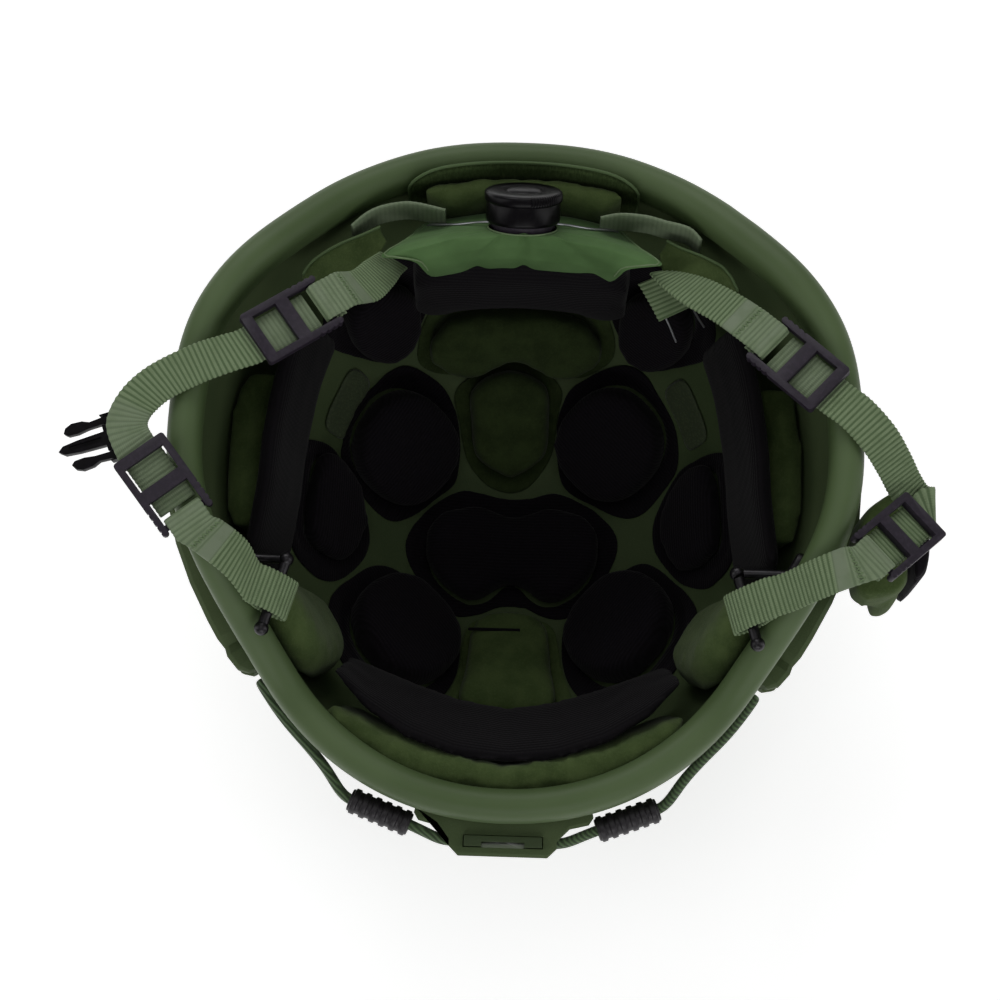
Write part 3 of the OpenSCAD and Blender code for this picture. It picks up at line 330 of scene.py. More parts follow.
# The brow mount: a moulded bracket with two thin wings against the shell and a thick
# tongue, and the slotted metal insert, coated green, that clips into the tongue's pocket.
def moulded(node, name, material, body, edge=0.0004, steps=2):
    """A hard piece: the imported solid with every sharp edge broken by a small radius."""
    net = merged(node, paired=False)
    bmesh.ops.dissolve_limit(net, angle_limit=math.radians(1.2), verts=net.verts,
                             edges=net.edges)
    mesh = from_net(net, ("BEVEL", {"width": edge, "segments": steps, "limit_method": "ANGLE",
                                    "angle_limit": math.radians(32)}))
    made = piece(name, mesh, material, body, node)
    mesh.set_sharp_from_angle(angle=math.radians(38))
    return made


moulded("brow_mount", "brow_bracket", paint.material, "helmet", 0.0007, 3)
plate = Finish("insert_coating", 0.6, Specular_IOR_Level=0.2)
fleck = plate.cloud(plate.place(), 2.4, 3)
plate.wear(plate.blend(fleck, srgb(52, 64, 40), srgb(62, 75, 49)), 0.5 + 0.2 * fleck, fleck,
           0.0001, 0.3)
moulded("mount_insert", "bracket_insert", plate.material, "helmet", 0.00015)

# The side rails: moulded bars with a groove along the middle, bolted to the flanks and
# painted with the shell.
for side in ("left", "right"):
    moulded(f"rail_{side}", f"side_rail_{side}", paint.material, "helmet",
            0.0006, 3)

# The shock cords: braided elastic from each rail to the brow mount, with a ribbed
# rubber grip threaded on.
braid = Finish("cord_braid", 0.8, Sheen_Weight=0.3)
twill = braid.node("ShaderNodeTexWave", {"wave_type": "BANDS", "bands_direction": "DIAGONAL"},
                   {"Vector": braid.place((0.9, 0.9, 0.9)), "Scale": 0.28, "Distortion": 1.5,
                    "Detail": 2}, 1)
braid.wear(braid.blend(twill, srgb(44, 60, 34), srgb(86, 112, 72)), None, twill, 0.0004, 0.8)
grip = Finish("grip_rubber", 0.42, Specular_IOR_Level=0.5)
scuff = grip.cloud(grip.place(), 0.8, 4, 0.65)
grip.wear(grip.blend(scuff.above(0.5, 0.8), srgb(20, 15, 21), srgb(42, 34, 44)),
          0.36 + 0.22 * scuff, scuff, 0.00012, 0.35)
for side in ("left", "right"):
    piece(f"elastic_cord_{side}", from_net(merged(f"shock_cord_{side}"), rounding(2)),
          braid.material, "helmet", f"shock_cord_{side}")
    moulded(f"cord_hook_{side}", f"cord_grip_{side}", grip.material, "helmet")


# The loose liner cushions: foam discs in black spacer mesh or green brushed cloth, held
# to the bowl by hook tape. Each is sewn round its edge, so its face stands up crowned.
bowl_mm = drawn_about + [0, 0, 112]
bowl_middle = Vector(bowl_mm) / 1000
wrap_r = 95


def spots_of(mesh):
    """A mesh's points as rows, in metres."""
    return np.array([v.co for v in mesh.vertices])


def settle(mesh, spots):
    """Moves a mesh's points to new places, in metres."""
    mesh.vertices.foreach_set("co", spots.astype(np.float32).ravel())
    mesh.update()


def unit(v):
    """The same direction with a length of 1."""
    return v / np.linalg.norm(v)


def lay_pairs(mesh, pairs):
    """Writes cloth coordinates in mm, one pair for each point of a mesh."""
    corners = np.zeros(len(mesh.loops), int)
    mesh.loops.foreach_get("vertex_index", corners)
    mesh.uv_layers.new(name="cloth").data.foreach_set(
        "uv", pairs[corners].astype(np.float32).ravel())


def lay_cloth(mesh, wrap=False):
    """Lays the cloth on a plane across the piece, or wraps it round the upright axis."""
    spots = spots_of(mesh) * 1000
    if wrap:
        about = spots - drawn_about
        turn_at = np.arctan2(about[:, 0], -about[:, 1] * np.sign(-about[:, 1].mean()))
        lay_pairs(mesh, np.stack([turn_at * wrap_r, spots[:, 2]], 1))
        return
    middle = spots.mean(0)
    out = unit(bowl_mm - middle)
    first = np.cross([0, 0, 1], out)
    first = unit(np.array([1.0, 0, 0]) if np.linalg.norm(first) < 0.2 else first)
    second = np.cross(out, first)
    lay_pairs(mesh, np.stack([(spots - middle) @ first, (spots - middle) @ second], 1))


blowing_frames = 16


def stuffed(nodes, voxel=0.0032, inset=0.0007, swell=0.0022, pressure=3.0):
    """Sews the named cushions as closed covers and blows them up a little, together."""
    covers = {}
    for node in nodes:
        mesh = from_net(merged(node), ("REMESH", {"mode": "VOXEL", "voxel_size": voxel,
                                                  "use_smooth_shade": True}))
        cover = bpy.data.objects.new("cover_" + node, mesh)
        bpy.context.scene.collection.objects.link(cover)
        normals = np.array([v.normal for v in mesh.vertices])
        start = spots_of(mesh) - normals * inset
        mesh.vertices.foreach_set("co", start.astype(np.float32).ravel())
        covers[node] = (cover, start, normals)
        cloth = cover.modifiers.new("cloth", "CLOTH").settings
        cloth.quality, cloth.mass = 4, 0.25
        cloth.tension_stiffness = cloth.compression_stiffness = 18
        cloth.use_pressure, cloth.uniform_pressure_force = True, pressure
        cloth.effector_weights.gravity = 0
    for step in range(1, blowing_frames + 1):
        bpy.context.scene.frame_set(step)
    sheets = {}
    hung = bpy.context.evaluated_depsgraph_get()
    for node, (cover, start, normals) in covers.items():
        move = spots_of(cover.evaluated_get(hung).data) - start
        reach = np.linalg.norm(move, axis=1, keepdims=True)
        move *= np.minimum(1, swell / np.maximum(reach, 1e-9))
        sheets[node] = start + move
    bpy.context.scene.frame_set(1)
    result = {}
    for node, (cover, _, _) in covers.items():
        cover.modifiers.clear()
        settle(cover.data, sheets[node])
        result[node] = worked(cover, ("SMOOTH", {"factor": 0.5, "iterations": 3}), rounding(1))
        bpy.data.objects.remove(cover)
    return result


def seen_net(node):
    """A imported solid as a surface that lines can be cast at."""
    net = merged(node)
    surface = BVHTree.FromBMesh(net)
    net.free()
    return surface


def skinned(net, rows):
    """Faces between each row of points and the next."""
    for here, there in zip(rows, rows[1:]):
        for near, far, far_too, near_too in zip(here, here[1:], there[1:], there):
            net.faces.new((near, far, far_too, near_too))


widest_mm, narrowest_mm, clear_mm, probe_up = 8.5, 0.4, 0.9, 0.0012


def border(mesh, node, bowl, near, steps=120):
    """Adds the flat welded border round a cushion, as wide as its neighbours leave."""
    spots = spots_of(mesh)
    middle = spots.mean(0)
    out = unit(np.array(bowl_middle) - middle)
    first = unit(np.cross(out, [0.1, 1, 0.2]))
    second = np.cross(out, first)
    flat = (spots - middle) @ np.stack([first, second], 1)
    bearing = np.arctan2(flat[:, 1], flat[:, 0])
    angles = np.arange(steps) * math.tau / steps
    half_step = math.tau / steps * 1.6
    edge = np.array([max(np.hypot(*flat[np.abs((bearing - a + math.pi) % math.tau - math.pi)
                                        < half_step].T), default=0.0) for a in angles])
    edge = (np.roll(edge, 1) + 2 * edge + np.roll(edge, -1)) / 4

    def on_bowl(angle, radius, above):
        spot = middle + radius * (math.cos(angle) * first + math.sin(angle) * second)
        wall, face, _, _ = bowl.ray_cast(bowl_middle, (Vector(spot) - bowl_middle).normalized())
        return wall + face * (above if face.dot(bowl_middle - wall) > 0 else -above)

    room = []
    for angle, radius in zip(angles, edge):
        spot = on_bowl(angle, radius, probe_up)
        free = min(other.find_nearest(spot)[3] for name, other in near.items() if name != node)
        room.append(min(widest_mm, max(narrowest_mm, (free * 1000 - clear_mm) / 2)) / 1000)
    for _ in range(4):
        room = np.minimum(room, (np.roll(room, 1) + np.roll(room, -1) + room) / 3)
    section = [(-0.0026, 0, 0.35), (-0.0026, 0, 1.5), (0.0002, 0, 1.5), (0.0002, 0.2, 0.85),
               (0.0002, 0.38, 1.35), (0, 0.8, 1.3), (0, 0.97, 1.05), (0, 1, 0.7), (0, 0.97, 0.4)]
    net = bmesh.new()
    net.from_mesh(mesh)
    loops = [[net.verts.new(on_bowl(a, r + inner + share * wide, above / 1000))
              for inner, share, above in section] for a, r, wide in zip(angles, edge, room)]
    closed = [loop + loop[:1] for loop in loops]
    skinned(net, closed + closed[:1])
    bmesh.ops.recalc_face_normals(net, faces=net.faces)
    net.to_mesh(mesh)
    net.free()


def knitted(name, deep, pale, fluff):
    """Black spacer mesh: knitted rows with small holes between them, and a little lint."""
    cloth = Finish(name, 0.9, Sheen_Weight=0.05, Specular_IOR_Level=0.14)
    across, up = cloth.laid(0), cloth.laid(1)
    row_pitch, hole_pitch = 1.3, 1.7
    rows = (up * (math.tau / row_pitch)).wave()
    holes = (across * (math.tau / hole_pitch) + (up * (math.pi / row_pitch)).wave() * 1.5).wave()
    knit = rows * 0.7 + rows.size() * holes * 0.3
    lint = cloth.cloud(cloth.place(), 0.35, 4, 0.6)
    tone = cloth.blend((knit * 0.5 + 0.5).above(0.1, 0.9), deep, pale)
    tone = cloth.blend(lint.above(0.55, 0.85) * 0.2, tone, fluff)
    cloth.wear(tone, None, knit, 0.0002, 0.45)
    return cloth


spacer = knitted("spacer_mesh", srgb(14, 11, 15), srgb(23, 19, 25), srgb(31, 27, 34))
band_mesh = knitted("band_mesh", srgb(7, 5, 8), srgb(14, 11, 15), srgb(22, 18, 24))


def brushed(name, deep, pale, tip):
    """Brushed nylon cloth: a short nap that clumps in tufts."""
    cloth = Finish(name, 0.92, Sheen_Weight=0.08, Specular_IOR_Level=0.12)
    nap = cloth.cloud(cloth.place(), 1.1, 5, 0.7)
    tufts = cloth.cloud(cloth.place(), 0.12, 4, 0.6)
    tone = cloth.blend(tufts.above(0.3, 0.7), deep, pale)
    tone = cloth.blend(nap.above(0.45, 0.8) * 0.45, tone, tip)
    cloth.wear(tone, None, nap * 0.7 + tufts * 0.8, 0.0005, 0.7)
    return cloth


# A darker copy of the same brushed cloth, for the green cushions down in the bowl: painted shade.
deep_fleece = brushed("deep_fleece", srgb(42, 53, 27), srgb(53, 66, 35), srgb(68, 83, 49))
fleece = brushed("wall_fleece", srgb(64, 80, 43), srgb(78, 94, 54), srgb(96, 112, 71))
# A lighter copy of the same cloth for the rear cushion: painted light on a face in shade.
rear_fleece = brushed("rear_fleece", srgb(82, 100, 56), srgb(96, 114, 68), srgb(114, 130, 86))

black_cushions = ["crown_pad", "rear_pad_left", "rear_pad_right", "front_pad_left",
                  "front_pad_right", "corner_pad_left", "corner_pad_right", "side_pad_left",
                  "side_pad_right"]
green_cushions = ["shield_pad", "nape_bean_pad", "forehead_pad"]
bordering = (black_cushions + green_cushions
             + ["brow_band", "side_band_left", "side_band_right", "temple_pad_left",
                "temple_pad_right", "hook_tape_left", "hook_tape_right", "nape_pad",
                "side_cushion_left", "side_cushion_right", "brow_cushion"])
solids = {node: seen_net(node) for node in bordering}
shell_wall = seen_net("shell")
for node, mesh in stuffed(black_cushions + green_cushions).items():
    border(mesh, node, shell_wall, solids)
    lay_cloth(mesh)
    black = node in black_cushions
    # The green cushions down in the bowl take the darker copy of the cloth, painted shade.
    green = fleece if node == "forehead_pad" else deep_fleece
    cushion = piece("cushion_" + node, mesh, (spacer if black else green).material,
                    "helmet", node)

# Hook tape: stiff woven strips with the tiny hooks that hold the cushions, glued flat.
hooks = Finish("hook_tape", 0.7, Sheen_Weight=0.2)
pile = hooks.node("ShaderNodeTexVoronoi", {}, {"Vector": hooks.place(), "Scale": 0.9}, 0)
hooks.wear(hooks.blend(pile.above(0.1, 0.6), srgb(62, 76, 44), srgb(50, 62, 35)), None, pile,
           0.0003, 0.5)
for side in ("left", "right"):
    piece(f"loop_tape_{side}", from_net(merged(f"hook_tape_{side}"), rounding(1)),
          hooks.material, "helmet", f"hook_tape_{side}")

# The fixed green cushions on the upright wall: temples, brow, ears and rear. They are
# foam wrapped in the same brushed cloth and bonded to the shell. The rear one's cloth is
# drawn lighter: painted light on a face that lies in shade.
wall_cushions = ["temple_pad_left", "temple_pad_right", "brow_cushion", "side_cushion_left",
                 "side_cushion_right", "rear_cushion"]


def pillowed(mesh, height):
    """Raises the middle of a wall cushion's face towards the bowl's middle."""
    spots = spots_of(mesh) * 1000 - drawn_about
    share = (spots - spots.min(0)) / np.ptp(spots, axis=0) * 2 - 1
    rise = height * np.clip(1 - share[:, 0] ** 4, 0, 1) ** 0.5 * np.clip(
        1 - share[:, 2] ** 2, 0, 1) ** 0.5
    to_bowl = np.array([v.normal for v in mesh.vertices])[:, 1] < 0.3
    inwards = spots * [1, 1, 0]
    inwards /= -np.linalg.norm(inwards, axis=1, keepdims=True)
    spots += inwards * (rise * to_bowl)[:, None]
    settle(mesh, (spots + drawn_about) / 1000)


def puckered(mesh, depth, pitch=13, wall_r=110):
    """Draws a cushion's upper and lower edge in and out, as the sewing thread does."""
    spots = spots_of(mesh) * 1000
    normals = np.array([v.normal for v in mesh.vertices])
    about = spots - drawn_about
    along = np.arctan2(about[:, 0], about[:, 1]) * wall_r
    share = (spots[:, 2] - spots[:, 2].min()) / np.ptp(spots[:, 2])
    crease = np.sin(along * math.tau / pitch + 2.6 * np.sin(along * 0.09) + spots[:, 2] * 0.12)
    crease = crease + 0.5 * np.sin(along * 1.13 + 2 * np.sin(along * 0.21))
    push = depth * crease * np.clip(np.abs(2 * share - 0.9), 0, 1) ** 1.5
    settle(mesh, (spots + normals * push[:, None]) / 1000)


def drawn_out(mesh, back, front, wall_r=112):
    """Lengthens a wall cushion along the wall, by so many mm at its rear and front end."""
    spots = spots_of(mesh) - drawn_about / 1000
    bearing = np.arctan2(spots[:, 1], np.abs(spots[:, 0]))
    share = 2 * (bearing - bearing.min()) / np.ptp(bearing) - 1
    turned_by = np.where(share > 0, share * back, share * front) / wall_r
    sign = np.sign(spots[:, 0])
    x = np.abs(spots[:, 0]) * np.cos(turned_by) - spots[:, 1] * np.sin(turned_by)
    y = np.abs(spots[:, 0]) * np.sin(turned_by) + spots[:, 1] * np.cos(turned_by)
    settle(mesh, np.stack([x * sign, y, spots[:, 2]], 1) + drawn_about / 1000)


for node, mesh in stuffed(wall_cushions, voxel=0.003, swell=0.003).items():
    if node.startswith("temple"):
        drawn_out(mesh, 9, 5)
    elif node == "rear_cushion":
        puckered(mesh, 0.2)
        pillowed(mesh, 3.2)
    elif node == "brow_cushion":
        puckered(mesh, 0.45)
        drawn_out(mesh, 9, 0)
    lay_cloth(mesh, wrap=True)
    # The rear cushion takes the lighter copy of the cloth: painted light.
    cloth = rear_fleece if node == "rear_cushion" else fleece
    piece("cushion_" + node, mesh, cloth.material, "helmet", node)

# The rear cushion's backing panel: brushed cloth on a stiff sheet, its edge bound with a
# thin, lighter cord.
class Pattern(Plan):
    """A geometry node group: a mesh and named numbers go in, a finished mesh comes out."""

    def __init__(self, name, **numbers):
        self.tree = bpy.data.node_groups.new(name, "GeometryNodeTree")
        sockets = self.tree.interface
        sockets.new_socket("Geometry", in_out="INPUT", socket_type="NodeSocketGeometry")
        sockets.new_socket("Geometry", in_out="OUTPUT", socket_type="NodeSocketGeometry")
        sockets.new_socket("Material", in_out="INPUT", socket_type="NodeSocketMaterial")
        for label, number in numbers.items():
            size_in = sockets.new_socket(label, in_out="INPUT", socket_type="NodeSocketFloat")
            size_in.default_value = number
        entry = self.tree.nodes.new("NodeGroupInput")
        self.given = {s.name: Value(self, s) for s in entry.outputs if s.name}

    def stored(self, name, kind="FLOAT"):
        """A value that the mesh carries under this name."""
        return self.node("GeometryNodeInputNamedAttribute", {"data_type": kind}, {"Name": name})

    def close(self, shape):
        """Ends the group: the shape gets the material and goes out."""
        whole = self.node("GeometryNodeRealizeInstances", {}, {"Geometry": shape})
        dressed = self.node("GeometryNodeSetMaterial", {},
                            {"Geometry": whole, "Material": self.given["Material"]})
        way_out = self.tree.nodes.new("NodeGroupOutput")
        self.tree.links.new(dressed.socket, way_out.inputs[0])

    def applied(self, mesh, material, **numbers):
        """The mesh that comes out for a mesh, a material and the named numbers."""
        raw = bpy.data.objects.new("raw", mesh)
        bpy.context.scene.collection.objects.link(raw)
        step = raw.modifiers.new("pattern", "NODES")
        step.node_group = self.tree
        for item in self.tree.interface.items_tree:
            if item.in_out == "INPUT" and item.name in numbers:
                step[item.identifier] = float(numbers[item.name])
            if item.in_out == "INPUT" and item.name == "Material":
                step[item.identifier] = material
        bpy.context.view_layer.update()
        result = bpy.data.meshes.new_from_object(
            raw.evaluated_get(bpy.context.evaluated_depsgraph_get()))
        bpy.data.objects.remove(raw)
        return result


piped = Pattern("piped_edge", thickness=1.0)
track = piped.node("GeometryNodeMeshToCurve", {}, {"Mesh": piped.given["Geometry"]})
round_section = piped.node("GeometryNodeCurvePrimitiveCircle", {},
                           {"Resolution": 10, "Radius": piped.given["thickness"] * 0.0005})
piped.close(piped.node("GeometryNodeCurveToMesh", {},
                       {"Curve": track, "Profile Curve": round_section, "Fill Caps": True}))


def edges_of(name, paths):
    """A mesh of bare edges along each path of points in the drawing's mm."""
    verts, edges = [], []
    for path in paths:
        first = len(verts)
        verts += [tuple(at_mm(*p)) for p in path]
        edges += [(i, i + 1) for i in range(first, len(verts) - 1)]
    mesh = bpy.data.meshes.new(name)
    mesh.from_pydata(verts, edges, [])
    return mesh


def corded(name, paths, finish, thickness, body):
    """A round cord of some mm along each path of points in the drawing's mm."""
    mesh = piped.applied(edges_of(name, paths), finish.material, thickness=thickness)
    piece(name, mesh, finish.material, body)


thread = Finish("sewing_thread", 0.7, Specular_IOR_Level=0.3)
twist = thread.cloud(thread.place(), 2.5, 2)
thread.wear(thread.blend(twist, srgb(98, 120, 82), srgb(120, 140, 104)), None, twist, 0.0001, 0.5)
panel_cloth = Finish("panel_cloth", 0.92, Specular_IOR_Level=0.12)
brush = panel_cloth.cloud(panel_cloth.place((1, 1, 0.15)), 1.3, 4, 0.7)
panel_cloth.wear(panel_cloth.blend(brush.above(0.35, 0.75), srgb(50, 64, 35), srgb(70, 86, 51)),
                 None, brush, 0.0004, 0.6)
piece("rear_cushion_panel", from_net(merged("rear_panel"), rounding(1)), panel_cloth.material,
      "helmet", "rear_panel")
panel_spots = spots_of(frame["nodes"]["rear_panel"].data) * 1000 - drawn_about
bearings = np.degrees(np.arctan2(panel_spots[:, 1], panel_spots[:, 0])).round(1)
upright = [panel_spots[bearings == b] for b in sorted(set(bearings))]
crests = [s[s[:, 2] > s[:, 2].max() - 0.5].mean(0) for s in upright]
ends_low = [upright[k].mean(0) * [1, 1, 0] + [0, 0, upright[k][:, 2].min()] for k in (0, -1)]
edging = Finish("edge_cord", 0.75, Specular_IOR_Level=0.25)
edge_twist = edging.cloud(edging.place(), 2.0, 2)
edging.wear(edging.blend(edge_twist, srgb(66, 84, 50), srgb(88, 108, 72)), None, edge_twist,
            0.0001, 0.5)
edge_cord_mm = 1.1
corded("panel_cord", [[ends_low[0]] + crests + [ends_low[1]]], edging, edge_cord_mm, "helmet")

# The slit across the forehead cushion: one thin dark cord on the cushion's face, painted
# shade for the shadowed mouth of its cover, placed by the pixels at which the camera sees it.
slit_left_px, slit_right_px, slit_step_px, slit_middle_px = 470, 522, 5, 495
slit_down_px, slit_slope = 630, 0.03
slit_proud = 0.0004
forehead_face = seen_net("forehead_pad")
slit = [under_pixel(px, slit_down_px + slit_slope * (px - slit_middle_px), forehead_face)
        for px in range(slit_left_px, slit_right_px, slit_step_px)]
corded("forehead_slit", [[(spot + out * slit_proud) * 1000 - Vector(drawn_about)
                          for spot, out in slit if spot is not None]],
       spacer, 1.3, "helmet")

# The head bands: black spacer mesh over thin foam, one across the brow and one over each
# ear, lying on the wall cushions.
for node, band in stuffed(["brow_band", "side_band_left", "side_band_right"], voxel=0.0018,
                          inset=0.0003, swell=0.0005, pressure=1).items():
    lay_cloth(band, wrap=True)
    piece("head_" + node, band, band_mesh.material, "helmet", node)

# The nape pad: a foam wedge in black mesh with a smooth green cover stretched over its
# back, gathered round the dial and stitched along both sides. It slides towards the brow as
# the dial winds.
for node, mesh in stuffed(["nape_pad"], voxel=0.003).items():
    lay_cloth(mesh, wrap=True)
    piece("nape_cushion", mesh, band_mesh.material, "nape", node)
dial_joint = next(j for j in frame["joints"] if j["name"] == "dial_turn")
spin = np.array(dial_joint["axis"])
hub = np.array(dial_joint["pos_m"]) * 1000
hub_drawn = hub - drawn_about
brow_way = np.array([0, -spin[2], spin[1]])

nape_wrap, nape_fall, cover_half = 330, 5, 44
collar_r, lip_up = 12.5, 0.8
plain_x, from_above = 20, 200
cover_front_y, cover_rear_y = 75.75, 102.6
cover_top = seen_net("nape_cover")
crest_y = np.arange(cover_front_y, cover_rear_y, 0.25)
crest_z = [cover_top.ray_cast(at_mm(plain_x, y - plain_x ** 2 / nape_wrap, from_above),
                              Vector((0, 0, -1)))[0].z * 1000
           + nape_fall * (plain_x / cover_half) ** 2 for y in crest_y]


def on_cover(x, y, above=0.3):
    """The point of the cover's top over a place in plan, in the drawing's mm."""
    z = np.interp(y + x * x / nape_wrap, crest_y, crest_z) - nape_fall * (x / cover_half) ** 2
    return np.array([x, y, z + above])


cover_flare = [(0, 35.5), (0.1, 38.5), (0.2, 46), (0.27, 51), (0.34, 52.5), (0.42, 50),
               (0.55, 45.5), (0.75, 41.5), (1, 37)]


def cover_half_at(along):
    """Half the cover's width, from its front hem at 0 to its rear edge at 1."""
    return float(np.interp(along, *zip(*cover_flare)))


def cover_end(bearing, hub_y):
    """How far the cover's cut edge is from the dial, in plan."""
    near, far = 0, 70
    for _ in range(20):
        reach = (near + far) / 2
        x, y = reach * math.cos(bearing), hub_y + reach * math.sin(bearing)
        along = (y + x * x / nape_wrap - crest_y[0]) / (crest_y[-1] - crest_y[0])
        inside = abs(x) < cover_half_at(along) and 0 < along < 1
        near, far = (reach, far) if inside else (near, reach)
    return near


def round_dial(bearing, radius, up):
    """A point on a circle about the dial, some mm along its axis, in the drawing's mm."""
    return hub_drawn + up * spin + radius * (
        math.cos(bearing) * np.array([1, 0, 0]) + math.sin(bearing) * brow_way)


def sheet(rows, thickness, seen_face=0, closed=False):
    """A soft cloth below a grid of points in the drawing's mm, its top face turned up."""
    net = bmesh.new()
    points = [[net.verts.new(at_mm(*spot)) for spot in row] for row in rows]
    skinned(net, points + points[:1] if closed else points)
    bmesh.ops.recalc_face_normals(net, faces=net.faces)
    if net.faces[seen_face].normal.z < 0:
        bmesh.ops.reverse_faces(net, faces=net.faces)
    return from_net(net, ("SOLIDIFY", {"thickness": thickness, "offset": -1}), rounding(1))


gathers, gather_mm, crease_mm, bulge_mm = 13, 1.6, 1.1, 0.3


def sew_cover(spokes=180, steps=20):
    """The cover as cloth cut round the collar, gathered below it and turned over the front."""
    grid = []
    for k in range(spokes):
        bearing = k * math.tau / spokes
        lip = round_dial(bearing, collar_r, lip_up)
        plan = math.atan2(lip[1] - hub_drawn[1], lip[0])
        reach = cover_end(plan, hub_drawn[1])
        end = np.array([reach * math.cos(plan), hub_drawn[1] + reach * math.sin(plan)])
        rise = lip[2] - on_cover(*lip[:2])[2]
        uneven = 2.2 * math.sin(2 * bearing + 0.6)
        crease = (0.5 + 0.5 * math.cos(gathers * bearing + uneven)) ** 5
        fold = 0.45 - crease
        below = max(0, math.sin(bearing)) ** 0.6
        spoke = []
        for step in range(steps + 1):
            share = 1 - (1 - step / steps) ** 1.25
            spot = on_cover(*(lip[:2] + (end - lip[:2]) * share))
            spot[2] += rise * (1 - share) ** 1.7
            swell = math.sin(math.pi * min(1, share * 0.85 + 0.04)) ** 0.7
            drawn = gather_mm * fold * below * (0.35 + 0.65 * share) * min(1, 6 * share)
            spot += brow_way * drawn
            ripple = 1 + math.sin(spot[0] * 0.21 + 0.8) * math.sin(share * 5)
            spot += spin * bulge_mm * swell * ripple
            spot += spin * (crease_mm * crease * below * min(1, 5 * share) * (1.1 - share))
            spoke.append(spot)
        at_front = end[1] + end[0] ** 2 / nape_wrap < crest_y[0] + 0.5
        turned_down = np.array([0, 0.12, 1.35]) if at_front else np.array([0, 0, 0.12])
        for _ in range(3):
            spoke.append(spoke[-1] - turned_down)
        grid.append(spoke)
    return sheet(grid, 0.001, steps // 2, closed=True)


nape_cloth = Finish("nape_cloth", 0.72, Sheen_Weight=0.06, Specular_IOR_Level=0.22)
plain_weave = nape_cloth.cloud(nape_cloth.place(), 2.6, 2)
fade = nape_cloth.cloud(nape_cloth.place(), 0.05, 3)
nape_cloth.wear(nape_cloth.blend(fade.above(0.3, 0.7), srgb(72, 102, 57), srgb(86, 118, 70)),
                None, plain_weave, 0.00015, 0.5)
cover = sew_cover()
lay_cloth(cover, wrap=True)
piece("nape_cloth_cover", cover, nape_cloth.material, "nape", "nape_cover")
seam_in = 1.5
hem_line = [(crest_y[0] + along * (crest_y[-1] - crest_y[0]), cover_half_at(along) - seam_in)
            for along in np.arange(0.02, 0.9, 0.025)]
side_seams = [[on_cover(side * half, y - half ** 2 / nape_wrap, 0.85) for y, half in hem_line]
              for side in (-1, 1)]
collar_hem = [round_dial(a, collar_r + 0.35, lip_up + 0.1)
              for a in np.arange(0, 1.001, 0.02) * math.tau]
corded("nape_seams", side_seams + [collar_hem], thread, 0.6, "nape")

# The side flaps: a leaf of the brushed cloth beyond each end of the nape pad, lying back
# against the wall, with a corded edge.
flap_drop, flap_t = 11, 0.0018


def flap(name, edge):
    """A soft leaf that slopes down from its corded edge towards the bowl's middle."""
    edge = np.array(edge, float)
    line = np.stack([np.interp(np.linspace(0, len(edge) - 1, 33), range(len(edge)), edge[:, k])
                     for k in range(3)], 1)
    for _ in range(3):
        line[1:-1] = (line[:-2] + 2 * line[1:-1] + line[2:]) / 4
    depth = np.sin(np.linspace(0.25, 0.9, len(line)) * math.pi)
    rows = []
    for share in np.linspace(0, 1, 9):
        sag = 1.1 * math.sin(share * math.pi)
        rows.append([p * np.array([1, 1, 0]) * (1 - 0.15 * share * d) + np.array(
            [0, 0, p[2] - flap_drop * share * d - sag]) for p, d in zip(line, depth)])
    leaf = sheet(rows, flap_t)
    lay_cloth(leaf, wrap=True)
    piece(name, leaf, fleece.material, "helmet")
    corded(name + "_cord", [[p + [0, 0, 0.1] for p in line]], edging, edge_cord_mm, "helmet")


flap("side_flap_left", [[-80.8, 68.7, 158], [-79.2, 72.6, 157], [-76.5, 76.1, 156],
                        [-71.5, 80.2, 155], [-65.8, 83.8, 154], [-60, 86.7, 153],
                        [-53.4, 90.5, 152]])
flap("side_flap_right", [[80.7, 68.9, 155], [78.5, 74.2, 154], [75.2, 78.8, 153],
                         [67.4, 83.1, 152], [59.2, 86.3, 151], [54.3, 89.3, 150]])

# The tension dial: an acetal collar, and a glossy knob with a domed middle and a cap that
# is knurled on one side, on a steel lace that runs to an eyelet at each side of the cover.
# Two more ends of the lace show below the right flap.
acetal = Finish("acetal", 0.45, Specular_IOR_Level=0.3)
rub = acetal.cloud(acetal.place(), 0.6, 4, 0.6)
acetal.wear(acetal.blend(rub.above(0.4, 0.75), srgb(38, 32, 42), srgb(50, 43, 55)),
            0.4 + 0.2 * rub, rub, 0.00006, 0.3)
polished = Finish("dial_black", 0.25, Specular_IOR_Level=0.15)
scratch = polished.cloud(polished.place(), 0.9, 4, 0.6)
polished.wear(polished.blend(scratch.above(0.5, 0.8), srgb(6, 4, 7), srgb(13, 10, 15)),
              0.2 + 0.25 * scratch, scratch, 0.00004, 0.25)
collar = moulded("dial_base", "dial_collar", acetal.material, "nape")
foot_share = 0.78
collar_spots = spots_of(collar.data) * 1000 - hub
collar_up = collar_spots @ spin
out_from_axis = collar_spots - np.outer(collar_up, spin)
drawn_in = np.where(collar_up < lip_up - 0.2, foot_share, 1.0)[:, None]
settle(collar.data, (np.outer(collar_up, spin) + out_from_axis * drawn_in + hub) / 1000)
knob_spots = spots_of(frame["nodes"]["dial_knob"].data) * 1000 - hub
knob_low, knob_top = (knob_spots @ spin).min(), (knob_spots @ spin).max()
knob_r = np.linalg.norm(knob_spots - np.outer(knob_spots @ spin, spin), axis=1).max()
knob_h = knob_top - knob_low
bore_r, bore_h, skirt_r = 4.08, knob_h - 3.4, 12.35
knurl_from, knurl_to, knurls, knurl_deep = math.radians(-78), math.radians(-8), 84, 0.38
knob_turns = 504
